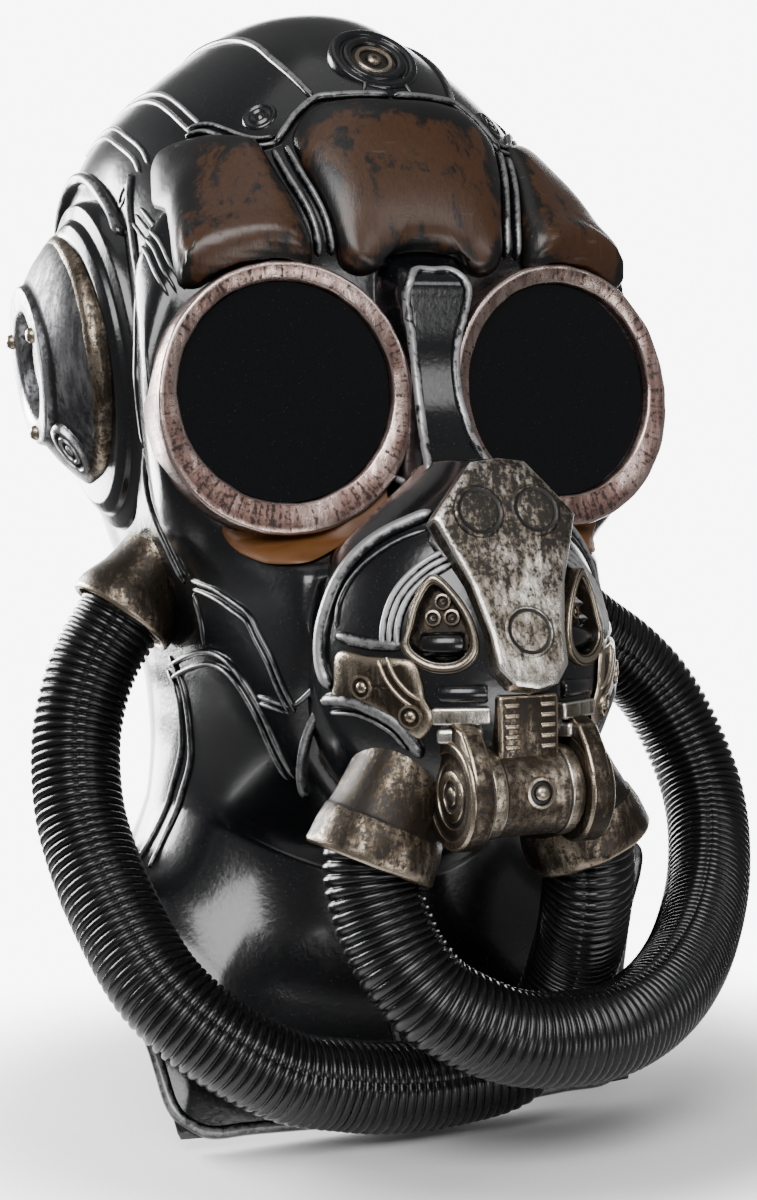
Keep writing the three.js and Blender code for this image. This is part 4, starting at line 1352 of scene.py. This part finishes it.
# %% Hinge
HINGE = Vector((0, -71, -133))
ACROSS = Matrix.Translation(HINGE) @ Matrix.Rotation(math.pi / 2, 4, "Y")
BARREL = [
    # radius, along
    (0, -17), (13.6, -17), (14.6, -16), (15, -14.5), (15, -12), (14.4, -11.4), (14.4, 11.4), (15, 12),
    (15, 14.5), (14.6, 16), (13.6, 17), (0, 17),
]
KNUCKLE = [
    # radius, along
    (0, 17.3), (17.2, 17.3), (18, 18.2), (18, 25.2), (17.2, 26), (14.6, 26), (13.8, 25.2), (10.6, 25.2),
    (10.2, 24.2), (8.8, 24.2), (8.4, 25.4), (5.2, 25.6), (4.8, 24.6), (3.4, 24.6), (3, 25.6), (0, 25.9),
]
SCREW = [
    # radius, along
    (0, 2.2), (1.6, 2.0), (2.4, 1.1), (2.6, -0.2), (3.6, -0.4), (4.2, 0.5), (5.0, 0.3), (5.4, -0.6),
    (5.4, -3), (0, -3),
]


def make_barrel():
    bm = moved(soften(turned(BARREL, 72), 0.3, 2), ACROSS)
    screw = moved(turned(SCREW, 40), facing(HINGE + Vector((0, -14.8, 1)), (0, -1, 0.05)))
    return mark_wear(add_to(bm, screw), 1.0)


def make_knuckle():
    return mark_wear(moved(soften(turned(KNUCKLE, 80), 0.25, 2), ACROSS), 1.0)


# the tube takes the lighter copy of the bronze paint: painted light
keep(make_barrel(), "hinge_tube", LIT_BRONZE, ["hinge_barrel"], sharp=50)
keep_pair(make_knuckle, "hinge_cheek", BRONZE, "hinge_knuckle", sharp=50)

# %% Bars, straps and rollers of the chin
def block(centre, size, width):
    """A bevelled bar."""
    bm = bmesh.new()
    bmesh.ops.create_cube(bm, size=1)
    soften(scaled(bm, size), width, 3)
    return moved(bm, Matrix.Translation(Vector(centre)))


def slanted(bm, centre):
    """Turn a bar made along X to follow the dome's flank, and put it in place."""
    return moved(bm, Matrix.Translation(Vector(centre)) @ Matrix.Rotation(math.radians(29), 4, "Z"))


def make_bars():
    bm = slanted(block((0, 0, 0), (19, 8, 5.6), 0.9), (20, -69.5, -107))
    add_to(bm, slanted(block((0, 0, 0), (15, 9, 5), 1.4), (20.5, -69, -113.5)))
    return mark_wear(bm, 1.0)


STRAP = [
    # y, z
    (-88.8, -132), (-88, -126), (-84.5, -118.5), (-79, -111.5), (-72, -109), (-64, -112), (-64, -130),
]
STRAP_X, STRAP_THICK = 17.4, 7.4


def make_strap():
    """A strap that runs from the bars over the hinge's cheek, cut from a plate and rounded."""
    bm = bmesh.new()
    face = bm.faces.new([bm.verts.new((STRAP_X, y, z)) for y, z in STRAP])
    out = bmesh.ops.extrude_face_region(bm, geom=[face])["geom"]
    far = [item for item in out if isinstance(item, bmesh.types.BMVert)]
    bmesh.ops.translate(bm, vec=(STRAP_THICK, 0, 0), verts=far)
    return mark_wear(soften(outward(bm), 1.3, 3, 12), 1.0)


def make_bar_rollers():
    return mark_wear(slanted(roller(8, 3.3, 0.7, 32), (20, -71, -99.8)), 1.0)


def make_chin():
    bm = block((0, -73.5, -113), (22, 10, 25), 1.4)
    for x in (-6.5, 6.5):
        for k in range(5):
            add_to(bm, block((x, -78.3, -104 - 3.4 * k), (5.5, 2.2, 1.8), 0.6))
    return mark_wear(bm, 1.0)


keep_pair(make_bars, "chin_bars", STEEL, sharp=50)
keep_pair(make_strap, "hinge_strap", BRONZE, sharp=50)
keep_pair(make_bar_rollers, "chin_rollers", LATEX, sharp=50)
keep(make_chin(), "chin_column", BRONZE, sharp=50)

# %% [markdown]
# ## Ports
# Flared cups take the hose ends. Each is turned from a profile that runs up the outside, over the rim
# and down the bore.

# %% Ports
MUZZLE_PORT = [
    # radius, along
    (0, -46), (15.5, -46), (17, -38), (18, -30), (18.9, -22), (20, -16), (20.4, -15.2), (20.9, -14.6),
    (22.0, -9), (22.3, -4), (22.5, -1.4), (21.8, -0.2), (20.6, 0), (19.7, -0.8), (19.5, -2), (19.2, -12),
    (0, -12),
]
EAR_PORT = [
    # radius, along
    (0, -28), (15, -28), (15.6, -21), (17, -15), (19, -10), (20.2, -6), (20.5, -2), (20.2, -0.5),
    (19.4, 0), (18.3, -0.4), (18, -1.6), (17.8, -7), (0, -7),
]
MUZZLE_CUP = facing((42, -41, -158), (0.42, 0.02, -0.907))
EAR_CUP = facing((88.5, 73, -79), (0.62, 0, -0.785))


def make_cup(profile, steps, seat):
    return moved(mark_wear(dented(turned(profile, steps), 0.4, 9), 1.4), seat)


keep_pair(lambda: make_cup(MUZZLE_PORT, 80, MUZZLE_CUP), "cup", BRONZE, "muzzle_port", sharp=60)
keep_pair(lambda: make_cup(EAR_PORT, 72, EAR_CUP), "ear_cup", BRONZE, "ear_port", sharp=60)

# %% [markdown]
# ## Ear housings and the crown's boss
# A stepped oval base carries a thick disc with a ring, a recess with a hub, three studs and a small
# oval badge. On the crown sits a round boss of ringed latex with a bronze heart.

# %% Ear profiles
EAR_AXIS = (0.99, 0, -0.12)
EAR_TALL = 1.3                        # height of the base over its width
EAR_BASE = [
    # radius, along
    (0, -40), (47, -40), (47, -9), (46, -6), (42, -4.5), (41, -2), (38, 0), (0, 0),
]
EAR_DISC = [
    # radius, along
    (0, -20), (40, -20), (42.4, -13), (41, -10), (35, -4.5), (29.6, -0.6), (28.4, 0.2), (28, 1.2),
    (27.4, 3.2), (26, 4), (20.6, 4), (19.2, 3.4), (18.2, 2), (17.8, -5), (11, -5), (10.4, -1.4),
    (9.2, -0.6), (6.6, -0.6), (6.2, -2.4), (4, -2.4), (3.4, 0.2), (0, 0.6),
]
EAR_EDGE = [
    # radius, along
    (38, -21), (41.4, -22), (43.2, -19), (43.6, -15), (43, -12.2), (41.6, -10.6), (39, -9.4),
]
STUD = [
    # radius, along
    (0, 2.6), (1.6, 2.3), (2.5, 1.2), (2.7, 0), (2.7, -3), (0, -3),
]
BADGE = [
    # radius, along
    (0, 1.8), (1.0, 1.6), (1.4, 0.6), (2.0, 0.6), (2.5, 1.8), (3.2, 1.8), (3.7, 0.6), (4.3, 0.6),
    (4.8, 1.8), (5.6, 1.6), (6.2, 0), (6.2, -6), (0, -6),
]
STUD_RING = 23
EAR_FACE = facing((107.5, 104, 14.5), (0.986, 0.115, -0.12)) @ Matrix.Diagonal((1.07, 1.07, 1, 1))
BADGE_TILT = Matrix.Rotation(0.64, 4, (0.84, -0.55, 0))
BADGE_SEAT = EAR_FACE @ Matrix.Translation((-19, -30, -4.4)) @ BADGE_TILT
print("ear disc of radius", max(radius for radius, _ in EAR_DISC))

# %% Ear housings
def make_ear_base():
    bm = soften(scaled(turned(EAR_BASE, 96), (1, EAR_TALL, 1)), 0.7, 2)
    return mark_wear(moved(bm, facing((95, 92, 12), EAR_AXIS)), 1.2)


def make_ear_disc():
    bm = moved(soften(turned(EAR_DISC, 96), 0.25, 2, 40), EAR_FACE)
    badge = scaled(turned(BADGE, 40), (1.05, 1.7, 1))
    return mark_wear(add_to(bm, moved(badge, BADGE_SEAT)), 1.2)


def make_ear_edge():
    bm = moved(dented(turned(EAR_EDGE, 96, closed=True), 0.5, 7), EAR_FACE)
    for turn in (math.radians(degrees) for degrees in (25, 155, 270)):
        spot = Matrix.Translation((STUD_RING * math.cos(turn), STUD_RING * math.sin(turn), 4))
        add_to(bm, moved(turned(STUD, 24), EAR_FACE @ spot))
    return mark_wear(bm, 1.2)


keep_pair(make_ear_base, "ear_base", LATEX, "ear_housing", sharp=50)
keep_pair(make_ear_disc, "ear_disc", IRON, sharp=50)
keep_pair(make_ear_edge, "ear_edge", BRONZE, sharp=50)

# %% Crown boss
BOSS = [
    # radius, along
    (0, -14), (16.5, -14), (16.8, -1), (16, 0.6), (14.8, 1), (13.4, 0.6), (12.8, -0.4), (12, -0.4),
    (11.4, 0.7), (10, 1), (8.8, 0.6), (8.4, -0.8), (0, -0.8),
]
HEART = [
    # radius, along
    (0, 1.4), (1.8, 1.2), (2.8, 0.2), (3.2, -0.7), (5.2, -0.7), (5.6, 0.3), (6.8, 0.5), (7.6, -0.2),
    (7.8, -2), (0, -2),
]
BOSS_FRAME = facing((0, 33, 120.5), (0, -0.74, 0.67))
boss = moved(soften(turned(BOSS, 72), 0.2, 2, 35), BOSS_FRAME)
keep(mark_wear(boss, 0.3), "boss", LATEX, ["crown_boss"], sharp=50)
keep(mark_wear(moved(turned(HEART, 48), BOSS_FRAME), 0.8), "boss_heart", BRONZE, sharp=50)

# %% [markdown]
# ## Floor and light
# A pale floor under the mask, two soft windows behind it on the viewer's left, a large one in front on
# the left, and three weak ones. Glossy black shows whatever surrounds it, so the room is dim and the
# floor is a small disc that fades out. Only the backdrop behind the mask is white.

# %% Floor
FLOOR_SPOT = (0.02, -0.05, CAD_BOX[0][2] - 0.001)
FLOOR_FADE = (0.14, 0.29)


def make_floor():
    f = Finish("pale floor", Roughness=0.8)
    cloud = f.speckle(3, 2)
    away = f.node("ShaderNodeVectorMath", {"operation": "DISTANCE"},
                  {0: f.place, 1: FLOOR_SPOT}, out="Value")
    return f.dress(Base_Color=f.blend(cloud, (0.84, 0.84, 0.84), (0.88, 0.88, 0.88)),
                   Alpha=1 - f.span(away, *FLOOR_FADE))


ground = bmesh.new()
bmesh.ops.create_circle(ground, cap_ends=True, segments=96, radius=0.6)
bmesh.ops.translate(ground, verts=ground.verts[:], vec=FLOOR_SPOT)
floor_mesh = bpy.data.meshes.new("floor")
ground.to_mesh(floor_mesh)
ground.free()
floor_mesh.materials.append(make_floor())
floor = bpy.data.objects.new("floor", floor_mesh)
bpy.context.collection.objects.link(floor)
print("floor at", round(FLOOR_SPOT[2], 4))

# %% Windows and backdrop
WINDOWS = [
    # name, place and aim in millimetres, width and height in metres, power in watts
    ("left window", (-690, 880, 290), (0, 60, 0), 0.68, 0.5, 38),
    ("rear window", (-340, 1100, 40), (0, 60, 0), 0.32, 0.56, 16),
    ("front window", (-700, -1000, 800), (0, 40, -60), 0.9, 0.9, 26),
    ("right panel", (450, -1000, 560), (0, 40, -60), 0.3, 0.5, 2.4),
    ("top window", (-100, 0, 1250), (0, 60, 0), 0.8, 0.8, 1.2),
    ("low panel", (100, -950, -320), (0, -100, -120), 0.6, 0.3, 3.4),
]
BACKDROP = {
    # the cosine from which it brightens, where it is full, and both strengths
    "From Min": 0.86, "From Max": 0.955, "To Min": 0.2, "To Max": 8.0,
}


def window(name, place, aim, width, height, power):
    light = bpy.data.lights.new(name, "AREA")
    light.shape = "RECTANGLE"
    light.size, light.size_y, light.energy = width, height, power
    lamp = bpy.data.objects.new(name, light)
    lamp.matrix_world = facing(TO_FRAME @ Vector(place), Vector(place) - Vector(aim))
    bpy.context.collection.objects.link(lamp)


for row in WINDOWS:
    window(*row)
world = bpy.data.worlds.new("studio")
bpy.context.scene.world = world
world.use_nodes = True
nodes, links = world.node_tree.nodes, world.node_tree.links
direction = nodes.new("ShaderNodeTexCoord")
ahead_share = nodes.new("ShaderNodeVectorMath")
ahead_share.operation = "DOT_PRODUCT"
ahead_share.inputs[1].default_value = -back
backdrop = nodes.new("ShaderNodeMapRange")
backdrop.interpolation_type = "SMOOTHSTEP"
for socket, value in BACKDROP.items():
    backdrop.inputs[socket].default_value = value
links.new(direction.outputs["Generated"], ahead_share.inputs[0])
links.new(ahead_share.outputs["Value"], backdrop.inputs["Value"])
links.new(backdrop.outputs[0], nodes["Background"].inputs["Strength"])
nodes["Background"].inputs["Color"].default_value = (1, 1, 1, 1)
print("backdrop behind", [round(c, 2) for c in -back])
